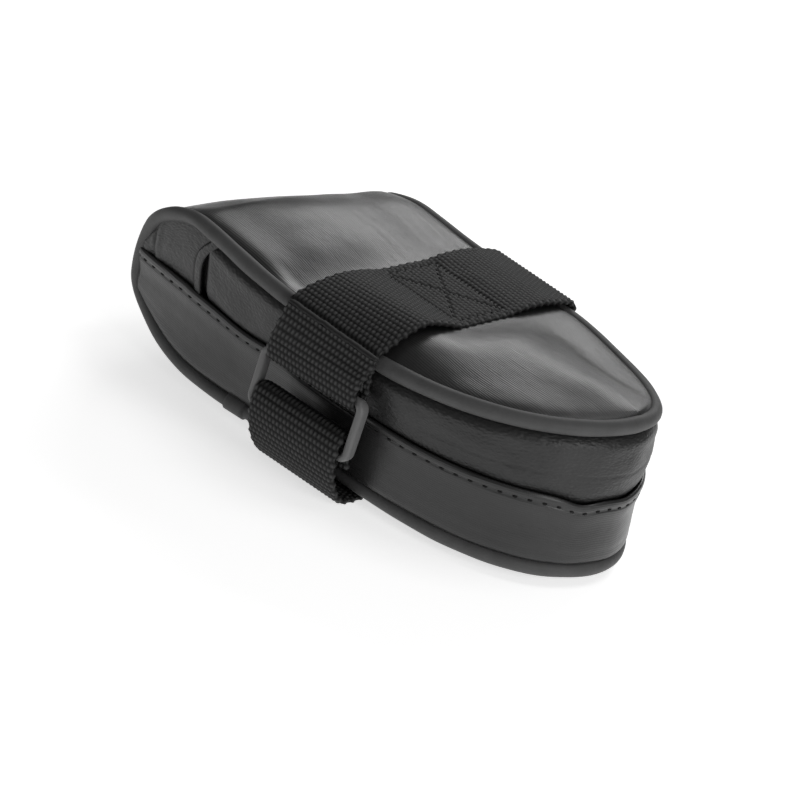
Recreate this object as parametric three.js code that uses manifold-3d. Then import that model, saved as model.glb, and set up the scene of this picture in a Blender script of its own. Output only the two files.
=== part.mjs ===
// Saddle bag with a webbing strap: a soft, zipped bicycle bag.
// Millimetres. +X points to the nose, -Y is the buckle side, +Z is up, and the ground is z = 0.
import * as THREE from 'three';
import { mergeVertices } from 'three/addons/utils/BufferGeometryUtils.js';
import Module from 'manifold-3d';

const wasm = await Module();
wasm.setup();

// ---------- driving dimensions ----------
const STRAP_WIDTH = 37;
const STRAP_THICKNESS = 2;
const STRAP_MIDDLE_X = 5.5;
const GAP = 0.3; // clearance between pieces that touch on the real bag
const SEAM_BASE = 5.6; // height of the bottom seam above the ground

const REAR_X = -87.6; // rear end of the side seams
const TOP_PLAN = { straightEnd: 5.9, nose: 87.6, halfWidth: 51.5, nosePower: 2.3, sidePower: 1.9 };
const BOTTOM_PLAN = { straightEnd: 12.5, nose: 91.9, halfWidth: 41.9, nosePower: 3.25, sidePower: 1.9 };
const REAR_PINCH = { startX: -29.2, length: 58.4, share: 0.11 };
const HEIGHT = { middle: 47.5, slope: -7, curve: 8.9, length: 87.6 }; // top seam above bottom seam
const REAR_TOP_LENGTH = 28.7; // length of the top seam's rear quarter ellipse
const REAR_BOTTOM_LENGTH = 53.5;
const REAR_TIP_SHARE = 0.41; // height of the rear tip, as a share of the height there

const PANEL_THICKNESS = 1.6;
const TOP_CROWN = 4;
const BOTTOM_CROWN = 2.2;
const PIPING_RADIUS = 2.6;
const PIPING_CORD_RADIUS = 1.5;
const SEAM_MARGIN = PIPING_RADIUS + GAP + 0.4;
const BAND_PUFF = 1.4;

const ZIP_SHARE_NOSE = 0.42; // height of the zip between the seams
const ZIP_SHARE_SIDE = 0.53;
const ZIP_DEPTH = -2.5; // zip plane behind the wall's middle surface
const ZIP_END_X = -60;
const ZIP_STRAIGHT = [-59, -8]; // the zip runs straight between these
const FLAP_RISE = 3.6; // folded edge of the flap above the zip
const SLIDER_X = -52;

const RING = { bar: 2.4, innerWidth: 38.4, height: 22.4, corner: 3, innerCorner: 1.6, bevel: 0.45 };
const RING_TOP_BAR = new THREE.Vector2(56.6, 40.1); // distance out from the middle, height
const RING_LOWER_BAR = new THREE.Vector2(58, 20.1);

const NOSE_STEPS = 9;
const SIDE_STEPS = 9;
const TIP_STEPS = 6;

// ---------- small helpers ----------
const lerp = THREE.MathUtils.lerp;
const clamp = THREE.MathUtils.clamp;
const vec = (x, y, z) => new THREE.Vector3(x, y, z);
const range = (count) => Array.from({ length: count }, (_, i) => i);
const mirrorY = (p) => vec(p.x, -p.y, p.z);

function material(color, roughness, metalness = 0) {
  return new THREE.MeshStandardMaterial({ color, roughness, metalness });
}

const coatedFabric = () => material(0x3a3a3b, 0.55);
const grainedFabric = () => material(0x303031, 0.6);
const pipingFabric = () => material(0x4a4a4b, 0.7);
const webbing = () => material(0x1c1c1d, 0.9);
const boardPlastic = () => material(0x26282a, 0.6);
const zipTape = () => material(0x18181a, 0.9);
const zipNylon = () => material(0x141416, 0.5);
const zipMetal = () => material(0x55575a, 0.4, 0.8);
const ringPlastic = () => material(0x8c8e90, 0.5);
const hookTape = () => material(0x101011, 0.95);

/** Closed body from rows of points: each row is a closed section, and the ends are capped or joined. */
function loft(rows, joined = false) {
  const sectionSize = rows[0].length;
  const positions = rows.flat().flatMap((p) => [p.x, p.y, p.z]);
  const triangles = [];
  const lastRow = joined ? rows.length : rows.length - 1;
  for (const i of range(lastRow)) {
    for (const j of range(sectionSize)) {
      const nextRow = ((i + 1) % rows.length) * sectionSize;
      const nextPoint = (j + 1) % sectionSize;
      const [a, b] = [i * sectionSize + j, i * sectionSize + nextPoint];
      const [c, d] = [nextRow + nextPoint, nextRow + j];
      triangles.push(a, b, c, a, c, d);
    }
  }
  if (!joined) {
    triangles.push(...cap(rows[0], 0, true));
    triangles.push(...cap(rows.at(-1), (rows.length - 1) * sectionSize, false));
  }
  return outward(positions, triangles);
}

/** Triangles that close one section, numbered from its first vertex. */
function cap(section, firstVertex, reversed) {
  const origin = section[0];
  const middle = section.reduce((sum, p) => sum.add(p), vec(0, 0, 0)).divideScalar(section.length);
  const normal = vec(0, 0, 0);
  section.forEach((p, i) => {
    const next = section[(i + 1) % section.length];
    normal.add(p.clone().sub(middle).cross(next.clone().sub(middle)));
  });
  normal.normalize();
  const axisU = section[1].clone().sub(origin).normalize();
  const axisV = normal.clone().cross(axisU);
  const flat = section.map((p) => {
    const offset = p.clone().sub(origin);
    return new THREE.Vector2(offset.dot(axisU), offset.dot(axisV));
  });
  const faces = THREE.ShapeUtils.triangulateShape(flat, []);
  return faces.flatMap(([a, b, c]) => {
    const face = reversed ? [c, b, a] : [a, b, c];
    return face.map((v) => v + firstVertex);
  });
}

/** Geometry with its triangles turned so that its volume is positive. */
function outward(positions, triangles) {
  const at = (i) => vec(positions[3 * i], positions[3 * i + 1], positions[3 * i + 2]);
  let volume = 0;
  for (let t = 0; t < triangles.length; t += 3) {
    const [a, b, c] = [at(triangles[t]), at(triangles[t + 1]), at(triangles[t + 2])];
    volume += a.dot(b.cross(c));
  }
  const facing = volume > 0 ? triangles : [...triangles].reverse();
  const geometry = new THREE.BufferGeometry();
  geometry.setAttribute('position', new THREE.Float32BufferAttribute(positions, 3));
  geometry.setIndex(facing);
  return geometry;
}

/** Manifold solid of a closed three.js geometry. */
function solid(geometry) {
  const plain = geometry.clone();
  plain.deleteAttribute('normal');
  plain.deleteAttribute('uv');
  const merged = mergeVertices(plain, 1e-4);
  const mesh = new wasm.Mesh({
    numProp: 3,
    vertProperties: new Float32Array(merged.attributes.position.array),
    triVerts: new Uint32Array(merged.index.array),
  });
  return new wasm.Manifold(mesh);
}

/** Geometry of a manifold solid. */
function geometryOf(manifold) {
  const mesh = manifold.getMesh();
  const geometry = new THREE.BufferGeometry();
  geometry.setAttribute('position', new THREE.Float32BufferAttribute(mesh.vertProperties, 3));
  geometry.setIndex([...mesh.triVerts]);
  return geometry;
}

const joinSolids = (geometries) => geometryOf(geometries.map(solid).reduce((all, next) => all.add(next)));

const bag = new THREE.Group();

function addPiece(name, geometry, pieceMaterial) {
  const mesh = new THREE.Mesh(geometry, pieceMaterial);
  mesh.name = name;
  bag.add(mesh);
  return mesh;
}

// ---------- outline of the bag ----------
const topHeight = (x) => {
  const u = x / HEIGHT.length;
  return HEIGHT.middle + HEIGHT.slope * u + HEIGHT.curve * u * u;
};

const rearTipHeight = REAR_TIP_SHARE * topHeight(REAR_X + REAR_TOP_LENGTH);

const rearRound = (x, length) => {
  const along = clamp((REAR_X + length - x) / length, 0, 1);
  return Math.sqrt(1 - along * along);
};

const topSeamHeight = (x) => lerp(rearTipHeight, topHeight(x), rearRound(x, REAR_TOP_LENGTH));
const bottomSeamHeight = (x) => lerp(rearTipHeight, 0, rearRound(x, REAR_BOTTOM_LENGTH));

function planHalfWidth(plan, x) {
  const intoNose = clamp((x - plan.straightEnd) / (plan.nose - plan.straightEnd), 0, 1);
  const intoRear = clamp((REAR_PINCH.startX - x) / REAR_PINCH.length, 0, 1);
  const noseShape = (1 - intoNose ** plan.nosePower) ** (1 / plan.sidePower);
  return plan.halfWidth * noseShape * (1 - REAR_PINCH.share * intoRear * intoRear);
}

/** Half width of the bag's wall at a place in side view. */
const halfWidthAt = (x, height) =>
  lerp(planHalfWidth(BOTTOM_PLAN, x), planHalfWidth(TOP_PLAN, x), height / topHeight(x));

/** Plan point of the nose arc: angle 0 is the tip and a right angle is where the straight side starts. */
function nosePoint(plan, angle) {
  const x = lerp(plan.straightEnd, plan.nose, Math.cos(angle) ** (2 / plan.nosePower));
  return { x, halfWidth: plan.halfWidth * Math.sin(angle) ** (2 / plan.sidePower) };
}

/** Top and bottom seam points on the +Y side at a place behind the nose arc. */
function seamPair(topX, bottomX = topX) {
  const [topZ, bottomZ] = [topSeamHeight(topX), bottomSeamHeight(bottomX)];
  return {
    top: vec(topX, halfWidthAt(topX, topZ), SEAM_BASE + topZ),
    bottom: vec(bottomX, halfWidthAt(bottomX, bottomZ), SEAM_BASE + bottomZ),
  };
}

/** Seam pairs on the +Y side, from the nose tip to the rear tip. */
function seamStations() {
  const sideEnd = REAR_X + REAR_TOP_LENGTH;
  const nose = range(NOSE_STEPS).map((i) => {
    const angle = (i / NOSE_STEPS) * (Math.PI / 2);
    const top = nosePoint(TOP_PLAN, angle);
    const bottom = nosePoint(BOTTOM_PLAN, angle);
    return {
      top: vec(top.x, top.halfWidth, SEAM_BASE + topHeight(top.x)),
      bottom: vec(bottom.x, bottom.halfWidth, SEAM_BASE),
    };
  });
  const side = range(SIDE_STEPS).map((i) => seamPair(
    lerp(TOP_PLAN.straightEnd, sideEnd, i / SIDE_STEPS),
    lerp(BOTTOM_PLAN.straightEnd, sideEnd, i / SIDE_STEPS),
  ));
  const tip = range(TIP_STEPS + 1).map((i) => {
    const angle = ((1 - i / TIP_STEPS) * Math.PI) / 2;
    return seamPair(REAR_X + REAR_TOP_LENGTH * (1 - Math.cos(angle)));
  });
  return [...nose, ...side, ...tip];
}

const STATIONS = seamStations();
const mirrorStation = (s) => ({ top: mirrorY(s.top), bottom: mirrorY(s.bottom) });

// ---------- side wall frames ----------
const middleOf = (station) => station.top.clone().add(station.bottom).multiplyScalar(0.5);

/** One frame per wall station on the +Y side: the zip line there, up the wall and out of it. */
function wallFrames() {
  const stations = STATIONS.filter((s) => s.top.x > ZIP_END_X);
  const frames = stations.map((s, i) => {
    const before = i === 0 ? mirrorStation(stations[1]) : stations[i - 1];
    const after = stations[i + 1] ?? s;
    const up = s.top.clone().sub(s.bottom).normalize();
    const along = middleOf(after).sub(middleOf(before));
    const share = lerp(ZIP_SHARE_NOSE, ZIP_SHARE_SIDE, clamp(i / NOSE_STEPS, 0, 1));
    const zip = s.bottom.clone().lerp(s.top, share);
    return { top: s.top, bottom: s.bottom, zip, up, out: along.cross(up).normalize() };
  });
  straighten(frames);
  return frames;
}

/** Puts the zip on one straight line, with one direction out, where the slider travels. */
function straighten(frames) {
  const straight = frames.filter((f) => f.zip.x > ZIP_STRAIGHT[0] && f.zip.x < ZIP_STRAIGHT[1]);
  const [start, end] = [straight[0].zip.clone(), straight.at(-1).zip.clone()];
  const along = end.clone().sub(start).normalize();
  const out = straight[0].out.clone().add(straight.at(-1).out);
  out.addScaledVector(along, -out.dot(along)).normalize();
  const up = out.clone().cross(along);
  straight.forEach((frame) => {
    const share = (frame.zip.x - start.x) / (end.x - start.x);
    frame.zip.lerpVectors(start, end, share);
    frame.out.copy(out);
    frame.up.copy(up);
  });
}

const FAR_WALL = wallFrames();
const mirrorFrame = (f) => ({
  top: mirrorY(f.top), bottom: mirrorY(f.bottom), zip: mirrorY(f.zip), up: mirrorY(f.up), out: mirrorY(f.out),
});
/** All wall frames, from the buckle side's rear, round the nose, to the far side's rear. */
const WALL = [...FAR_WALL.slice(1).reverse().map(mirrorFrame), ...FAR_WALL];

const wallPoint = (frame, rise, out) =>
  frame.zip.clone().addScaledVector(frame.up, rise).addScaledVector(frame.out, out);

/** The wall's edge beside a seam, clear of the piping. */
function edgePoint(frame, seam, out) {
  const inward = frame.zip.clone().sub(seam).normalize();
  return seam.clone().addScaledVector(inward, SEAM_MARGIN).addScaledVector(frame.out, out);
}

// ---------- sewn shell ----------
const HALF_PANEL = PANEL_THICKNESS / 2;
const BAND_EDGE_RISE = 5.3; // both bands end beyond the slider
const FLAP_INSIDE = 0.4;
const FLAP_OUTSIDE = 2.6;
const LOWER_PUFF = 0.6;

function upperBandSection(frame) {
  const skin = (share, out) => {
    const lower = wallPoint(frame, BAND_EDGE_RISE, out);
    const upper = edgePoint(frame, frame.top, out);
    return lower.lerp(upper, share).addScaledVector(frame.out, BAND_PUFF * Math.sin(Math.PI * share));
  };
  const shares = [0, 1 / 3, 2 / 3, 1];
  return [
    ...shares.map((share) => skin(share, HALF_PANEL)),
    ...shares.toReversed().map((share) => skin(share, -HALF_PANEL)),
  ];
}

/** The lower band with its folded top edge, which covers the zip. */
function lowerBandSection(frame) {
  const middle = (out) =>
    wallPoint(frame, -BAND_EDGE_RISE, out).lerp(edgePoint(frame, frame.bottom, out), 0.5);
  return [
    edgePoint(frame, frame.bottom, HALF_PANEL),
    middle(HALF_PANEL + LOWER_PUFF),
    wallPoint(frame, -BAND_EDGE_RISE, FLAP_OUTSIDE - 0.4),
    wallPoint(frame, FLAP_RISE, FLAP_OUTSIDE),
    wallPoint(frame, FLAP_RISE, FLAP_INSIDE),
    wallPoint(frame, -BAND_EDGE_RISE + 0.4, FLAP_INSIDE),
    wallPoint(frame, -BAND_EDGE_RISE - 0.9, -HALF_PANEL),
    middle(-HALF_PANEL + LOWER_PUFF),
    edgePoint(frame, frame.bottom, -HALF_PANEL),
  ];
}

const steepness = (height, x) => Math.hypot(1, (height(x + 0.1) - height(x - 0.1)) / 0.2);

const END_PATCH = { front: ZIP_END_X + 0.4, rear: -80.5, steps: 5 };

/** Patch that closes one rear end of the side wall. side is 1 on +Y and -1 on the buckle side. */
function endPatch(side) {
  const rows = range(END_PATCH.steps + 1).map((i) => {
    const x = lerp(END_PATCH.front, END_PATCH.rear, Math.sin((i / END_PATCH.steps) * (Math.PI / 2)));
    const { top, bottom } = seamPair(x);
    const up = top.clone().sub(bottom).normalize();
    const low = bottom.addScaledVector(up, SEAM_MARGIN * steepness(bottomSeamHeight, x));
    const high = top.addScaledVector(up, -SEAM_MARGIN * steepness(topSeamHeight, x));
    const skin = (share, out) => low.clone().lerp(high, share).add(vec(0, out, 0));
    const shares = [0, 1 / 3, 2 / 3, 1];
    const section = [
      ...shares.map((share) => skin(share, HALF_PANEL)),
      ...shares.toReversed().map((share) => skin(share, -HALF_PANEL)),
    ];
    return side > 0 ? section : section.map(mirrorY);
  });
  return loft(rows);
}

/** Edge line of a panel, just inside a seam line on the +Y side. */
function insideSeam(points) {
  return points.map((p, i) => {
    const before = points[i - 1] ?? p;
    const after = points[i + 1] ?? p;
    const onNose = p.x > BOTTOM_PLAN.straightEnd;
    const inward = onNose
      ? vec(-Math.abs(after.y - before.y), -Math.abs(after.x - before.x), 0).normalize()
      : vec(0, -1, 0);
    return p.clone().addScaledVector(inward, SEAM_MARGIN);
  });
}

/** Closed sheet from side to side, puffed out between its edge lines. */
function crossPanel(edges, crown, thickness = PANEL_THICKNESS, across = 8) {
  const widest = Math.max(...edges.map((edge) => edge.y));
  const rows = edges.map((edge, i) => {
    const before = edges[Math.max(i - 1, 0)];
    const after = edges[Math.min(i + 1, edges.length - 1)];
    const along = after.clone().sub(before).setY(0).normalize();
    const out = vec(along.z, 0, -along.x);
    const skin = (share, side) => {
      const rise = crown * (edge.y / widest) ** 2 * (1 - (2 * share - 1) ** 2);
      const point = vec(edge.x, lerp(-edge.y, edge.y, share), edge.z);
      return point.addScaledVector(out, rise + (side * thickness) / 2);
    };
    const shares = range(across + 1).map((j) => j / across);
    return [...shares.map((s) => skin(s, 1)), ...shares.toReversed().map((s) => skin(s, -1))];
  });
  return loft(rows);
}

const UNDER_SEAM_X = -40; // cross seam under the bag's rear end

/** Top panel edge: from the nose, over the rear end and down to the cross seam underneath. */
function topPanelEdge() {
  const over = STATIONS.slice(1).map((s) => s.top);
  const under = STATIONS.slice(0, -1).reverse().map((s) => s.bottom);
  return insideSeam([...over, ...under.filter((p) => p.x < UNDER_SEAM_X), seamPair(UNDER_SEAM_X).bottom]);
}

function bottomPanelEdge() {
  const ahead = STATIONS.slice(1).map((s) => s.bottom).filter((p) => p.x > UNDER_SEAM_X + 2);
  return insideSeam([seamPair(UNDER_SEAM_X + 0.6).bottom, ...ahead.reverse()]);
}

/** Flat edge line for a stiffener board between two places along the bag. */
function boardEdge(plan, fromX, toX, height, inset) {
  const steps = 10;
  return range(steps + 1).map((i) => {
    const x = lerp(fromX, toX, Math.sin((i / steps) * (Math.PI / 2)));
    return vec(x, planHalfWidth(plan, x) - inset, SEAM_BASE + height(x));
  });
}

function addShell() {
  addPiece('top_panel', crossPanel(topPanelEdge(), TOP_CROWN), coatedFabric());
  addPiece('bottom_panel', crossPanel(bottomPanelEdge(), BOTTOM_CROWN), coatedFabric());
  addPiece('upper_gusset', loft(WALL.map(upperBandSection)), grainedFabric());
  addPiece('lower_gusset', loft(WALL.map(lowerBandSection)), coatedFabric());
  addPiece('gusset_end_near', endPatch(-1), grainedFabric());
  addPiece('gusset_end_far', endPatch(1), grainedFabric());
}

const BOARD = { thickness: 1.2, inset: 8 };
const TOP_BOARD = { rear: -55, front: 78, depth: 3, crown: 2 };
const BOTTOM_BOARD = { rear: -38, front: 82, rise: 2 };

function addBoards() {
  const underTop = (x) => topHeight(x) - TOP_BOARD.depth;
  const top = boardEdge(TOP_PLAN, TOP_BOARD.rear, TOP_BOARD.front, underTop, BOARD.inset).reverse();
  addPiece('top_stiffener', crossPanel(top, TOP_BOARD.crown, BOARD.thickness, 4), boardPlastic());
  const overBottom = () => BOTTOM_BOARD.rise;
  const bottom = boardEdge(BOTTOM_PLAN, BOTTOM_BOARD.rear, BOTTOM_BOARD.front, overBottom, BOARD.inset);
  addPiece('bottom_stiffener', crossPanel(bottom, 0, BOARD.thickness, 2), boardPlastic());
}

// ---------- piping ----------
const PIPING_STEPS = 84;
const PIPING_SLIT = 0.25; // half the angle of the slit where the seam allowance goes in
const PIPING_JOIN = { x: -32, shareOfLoop: 0.006, thickness: 0.6 };

/** The closed seam line: top and bottom seams joined round both rear tips and across the nose. */
function seamLoop() {
  const last = STATIONS.length - 1;
  const far = [
    ...STATIONS.map((s) => s.top),
    ...STATIONS.slice(0, last).reverse().map((s) => s.bottom),
  ];
  const near = far.slice(1, -1).reverse().map(mirrorY);
  return new THREE.CatmullRomCurve3([...far, ...near], true, 'centripetal');
}

/** Point of a small section around the seam line: angle 0 points into the bag. */
function pipingFrame(curve, share) {
  const centre = curve.getPointAt(share);
  const along = curve.getTangentAt(share);
  const core = vec(clamp(centre.x, -45, 40), 0, SEAM_BASE + HEIGHT.middle / 2);
  const inward = core.sub(centre);
  inward.addScaledVector(along, -inward.dot(along)).normalize();
  const side = along.clone().cross(inward);
  return (radius, angle) => centre.clone()
    .addScaledVector(inward, radius * Math.cos(angle))
    .addScaledVector(side, radius * Math.sin(angle));
}

/** Section of an open ring between two angles. */
function ringSection(at, inner, outer, fromAngle, toAngle, steps) {
  const angles = range(steps + 1).map((i) => lerp(fromAngle, toAngle, i / steps));
  return [...angles.map((a) => at(outer, a)), ...angles.toReversed().map((a) => at(inner, a))];
}

function addPiping() {
  const curve = seamLoop();
  const frames = range(PIPING_STEPS).map((i) => pipingFrame(curve, i / PIPING_STEPS));
  const coverInner = PIPING_CORD_RADIUS + GAP;
  const coverEnd = 2 * Math.PI - PIPING_SLIT;
  const cover = frames.map((at) => ringSection(at, coverInner, PIPING_RADIUS, PIPING_SLIT, coverEnd, 8));
  addPiece('piping_cover', loft(cover, true), pipingFabric());
  const cordSides = 6;
  const cordAngles = range(cordSides).map((i) => (i / cordSides) * 2 * Math.PI);
  const cord = frames.map((at) => cordAngles.map((a) => at(PIPING_CORD_RADIUS, a)));
  addPiece('piping_cord', loft(cord, true), zipTape());

  const joinPlace = placeOnBottomSeam(curve, PIPING_JOIN.x);
  const joinInner = PIPING_RADIUS + GAP;
  const joinOuter = joinInner + PIPING_JOIN.thickness;
  const join = [-0.5, 0.5].map((end) => {
    const at = pipingFrame(curve, joinPlace + end * PIPING_JOIN.shareOfLoop);
    return ringSection(at, joinInner, joinOuter, 0.6 * Math.PI, 1.4 * Math.PI, 6);
  });
  addPiece('piping_join', loft(join), pipingFabric());
}

/** Share of the seam loop at a place on the buckle side's bottom seam. */
function placeOnBottomSeam(curve, x) {
  const samples = 600;
  const shares = range(samples).map((i) => i / samples);
  const gap = (share) => {
    const p = curve.getPointAt(share);
    return p.y < 0 && p.z < SEAM_BASE + 5 ? Math.abs(p.x - x) : Infinity;
  };
  return shares.reduce((best, share) => (gap(share) < gap(best) ? share : best));
}

// ---------- zip ----------
const COIL = { inner: 0.7, outer: 2.6, halfThickness: 0.9 };
const TAPE = { inner: 2.9, outer: 11, halfThickness: 0.25 };

const stripSection = (strip, side) => (frame) => {
  const at = (rise, out) => wallPoint(frame, side * rise, ZIP_DEPTH + out);
  return [
    at(strip.inner, strip.halfThickness), at(strip.outer, strip.halfThickness),
    at(strip.outer, -strip.halfThickness), at(strip.inner, -strip.halfThickness),
  ];
};

/** Box given by its ranges in a wall frame: along the zip, up the wall and out of it. */
function frameBox(frame, [alongFrom, alongTo], [upFrom, upTo], [outFrom, outTo]) {
  const box = new THREE.BoxGeometry(alongTo - alongFrom, upTo - upFrom, outTo - outFrom);
  box.translate((alongFrom + alongTo) / 2, (upFrom + upTo) / 2, (outFrom + outTo) / 2);
  return box.applyMatrix4(frameMatrix(frame));
}

function frameMatrix(frame) {
  const along = frame.up.clone().cross(frame.out);
  return new THREE.Matrix4().makeBasis(along, frame.up, frame.out).setPosition(frame.zip);
}

const symmetric = (half) => [-half, half];

/** Frame on the far side's straight run of the zip. */
function sliderFrame() {
  const [start, end] = [FAR_WALL.at(-1), FAR_WALL.at(-2)];
  const share = (SLIDER_X - start.zip.x) / (end.zip.x - start.zip.x);
  return { zip: start.zip.clone().lerp(end.zip, share), up: start.up.clone(), out: start.out.clone() };
}

const BAIL = { rise: 4.3, out: 4.4, halfLength: 3.7, arm: 0.9, halfArmHeight: 0.4, barRadius: 0.6 };
const SLIDER = { halfLength: 5, halfHeight: 4.5, halfMouth: 1.3, plate: 1.1, lipInside: 3.4, lipDepth: 0.6 };
const SLIDER_WEDGE = { halfLength: 2, halfHeight: 0.35 };

function sliderGeometry(frame) {
  const length = symmetric(SLIDER.halfLength);
  const height = symmetric(SLIDER.halfHeight);
  const [outerFace, innerFace] = [ZIP_DEPTH + SLIDER.halfMouth, ZIP_DEPTH - SLIDER.halfMouth];
  const overlap = 0.1; // joined solids run a little into each other
  const lipHeights = [[SLIDER.lipInside, SLIDER.halfHeight], [-SLIDER.halfHeight, -SLIDER.lipInside]];
  const lips = lipHeights.flatMap((lip) => [
    frameBox(frame, length, lip, [ZIP_DEPTH + SLIDER.lipDepth, outerFace + overlap]),
    frameBox(frame, length, lip, [innerFace - overlap, ZIP_DEPTH - SLIDER.lipDepth]),
  ]);
  const wedge = frameBox(
    frame,
    symmetric(SLIDER_WEDGE.halfLength),
    symmetric(SLIDER_WEDGE.halfHeight),
    [innerFace - SLIDER.plate / 2, outerFace + SLIDER.plate / 2],
  );
  const arms = [-1, 1].map((side) => {
    const along = side * (BAIL.halfLength - BAIL.arm / 2);
    const [low, high] = [BAIL.rise - BAIL.halfArmHeight, BAIL.rise + BAIL.halfArmHeight];
    const depth = [outerFace, BAIL.out + BAIL.barRadius / 2];
    return frameBox(frame, [along - BAIL.arm / 2, along + BAIL.arm / 2], [low, high], depth);
  });
  const bar = new THREE.CylinderGeometry(BAIL.barRadius, BAIL.barRadius, 2 * BAIL.halfLength, 10);
  bar.rotateZ(Math.PI / 2).translate(0, BAIL.rise, BAIL.out).applyMatrix4(frameMatrix(frame));
  return joinSolids([
    frameBox(frame, length, height, [outerFace, outerFace + SLIDER.plate]),
    frameBox(frame, length, height, [innerFace - SLIDER.plate, innerFace]),
    wedge,
    ...lips,
    ...arms,
    bar,
  ]);
}

/** Flat tab with a rolled eye that hangs from the slider's bail. */
function pullGeometry(frame) {
  const eye = { inner: 0.95, outer: 1.5, width: 4.6 };
  const tab = { length: 21, width: 7.5, thickness: 1.1, corner: 1.6, start: 1.2, shoulder: 4.2 };
  const ring = new THREE.Shape().absarc(0, 0, eye.outer, 0, 2 * Math.PI);
  ring.holes.push(new THREE.Path().absarc(0, 0, eye.inner, 0, 2 * Math.PI, true));
  const eyeDepth = { depth: eye.width, bevelEnabled: false, curveSegments: 8 };
  const eyeBody = new THREE.ExtrudeGeometry(ring, eyeDepth);
  eyeBody.translate(0, 0, -eye.width / 2).rotateY(Math.PI / 2);
  const [half, corner] = [tab.width / 2, tab.corner];
  const outline = new THREE.Shape();
  outline.moveTo(-eye.width / 2, -tab.start);
  outline.lineTo(eye.width / 2, -tab.start);
  outline.lineTo(half, -tab.shoulder);
  outline.absarc(half - corner, corner - tab.length, corner, 0, -Math.PI / 2, true);
  outline.absarc(corner - half, corner - tab.length, corner, -Math.PI / 2, -Math.PI, true);
  outline.lineTo(-half, -tab.shoulder);
  const tabBody = new THREE.ExtrudeGeometry(outline, {
    depth: tab.thickness, bevelEnabled: false, curveSegments: 3,
  });
  tabBody.translate(0, 0, -tab.thickness / 2);
  const pull = joinSolids([eyeBody, tabBody]);
  const along = frame.up.clone().cross(frame.out);
  const hanging = vec(0, 0, 1).addScaledVector(along, -along.z).normalize();
  const place = new THREE.Matrix4().makeBasis(along, hanging, along.clone().cross(hanging));
  place.setPosition(wallPoint(frame, BAIL.rise, BAIL.out));
  return pull.applyMatrix4(place);
}

const ZIP_STOP = { halfHeight: 2.4, halfDepth: 1, fromEnd: 1.2, length: 1.8 };

function addZip() {
  addPiece('zip_tape_upper', loft(WALL.map(stripSection(TAPE, 1))), zipTape());
  addPiece('zip_tape_lower', loft(WALL.map(stripSection(TAPE, -1))), zipTape());
  const coilWall = WALL.slice(1, -1);
  addPiece('zip_coil_upper', loft(coilWall.map(stripSection(COIL, 1))), zipNylon());
  addPiece('zip_coil_lower', loft(coilWall.map(stripSection(COIL, -1))), zipNylon());
  const stopHeight = symmetric(ZIP_STOP.halfHeight);
  const stopDepth = [ZIP_DEPTH - ZIP_STOP.halfDepth, ZIP_DEPTH + ZIP_STOP.halfDepth];
  const stopEnd = ZIP_STOP.fromEnd + ZIP_STOP.length;
  const [near, far] = [WALL[0], WALL.at(-1)];
  addPiece('zip_stop_near', frameBox(near, [-stopEnd, -ZIP_STOP.fromEnd], stopHeight, stopDepth), zipMetal());
  addPiece('zip_stop_far', frameBox(far, [ZIP_STOP.fromEnd, stopEnd], stopHeight, stopDepth), zipMetal());
  const frame = sliderFrame();
  addPiece('zip_slider', sliderGeometry(frame), zipMetal());
  addPiece('zip_pull', pullGeometry(frame), grainedFabric());
}

// ---------- strap and ring ----------
const RING_WRAP_RADIUS = 2.9; // middle of the webbing, from the bar's centre
const TOP_PIPING_WRAP = PIPING_RADIUS + GAP + STRAP_THICKNESS / 2 + 0.5;
const BOX_HALF_LENGTH = 13; // half the sewn box on top, across the bag
const BOX_HEIGHT = 59.2;
const TAIL_FOOT = RING_TOP_BAR.y + GAP;
const HINGE_HEIGHT = RING_TOP_BAR.y + GAP / 2;
const point = (out, height) => new THREE.Vector2(out, height);

/** Points on an arc, as distance out and height. Angles in degrees: 0 points out and 90 up. */
const arcPoints = (centre, radius, angles) => angles.map((angle) => {
  const radians = THREE.MathUtils.degToRad(angle);
  return point(centre.x + radius * Math.cos(radians), centre.y + radius * Math.sin(radians));
});

/** Smooth run through points, with the first and last kept. */
function smoothRun(points, steps) {
  const curve = new THREE.CatmullRomCurve3(points.map((p) => vec(p.x, p.y, 0)), false, 'centripetal');
  return curve.getSpacedPoints(steps).map((p) => point(p.x, p.y));
}

const TOP_SEAM = point(TOP_PLAN.halfWidth, SEAM_BASE + HEIGHT.middle);
const BOTTOM_SEAM = point(BOTTOM_PLAN.halfWidth, SEAM_BASE);
const BOTTOM_RUN_HEIGHT = STRAP_THICKNESS / 2;

/** From the ring's upper bar up the buckle side and over the top to the sewn box. */
const nearUpperRun = [
  ...arcPoints(RING_TOP_BAR, RING_WRAP_RADIUS, [0, -30, -60, -90, -120, -150, -180]),
  ...smoothRun([
    point(54, 43.5), point(54.9, 48), point(55.8, 51.8),
    ...arcPoints(TOP_SEAM, TOP_PIPING_WRAP, [10, 50, 85]),
    point(45, 59.4), point(34, 60.9), point(22, 60.4), point(BOX_HALF_LENGTH, BOX_HEIGHT),
  ], 20),
];

/** From the sewn box over the far arch and down the far wall to the underside. */
const farRun = smoothRun([
  point(BOX_HALF_LENGTH, BOX_HEIGHT), point(22, 60.2), point(34, 60.2), point(45, 58.8),
  ...arcPoints(TOP_SEAM, TOP_PIPING_WRAP, [85, 50, 15]),
  point(55.6, 49), point(54.6, 42), point(53, 33.5), point(50.4, 22), point(48, 12),
  ...arcPoints(BOTTOM_SEAM, TOP_PIPING_WRAP, [0, -35]),
  point(41, BOTTOM_RUN_HEIGHT + 0.2), point(37, BOTTOM_RUN_HEIGHT),
], 30);

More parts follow.
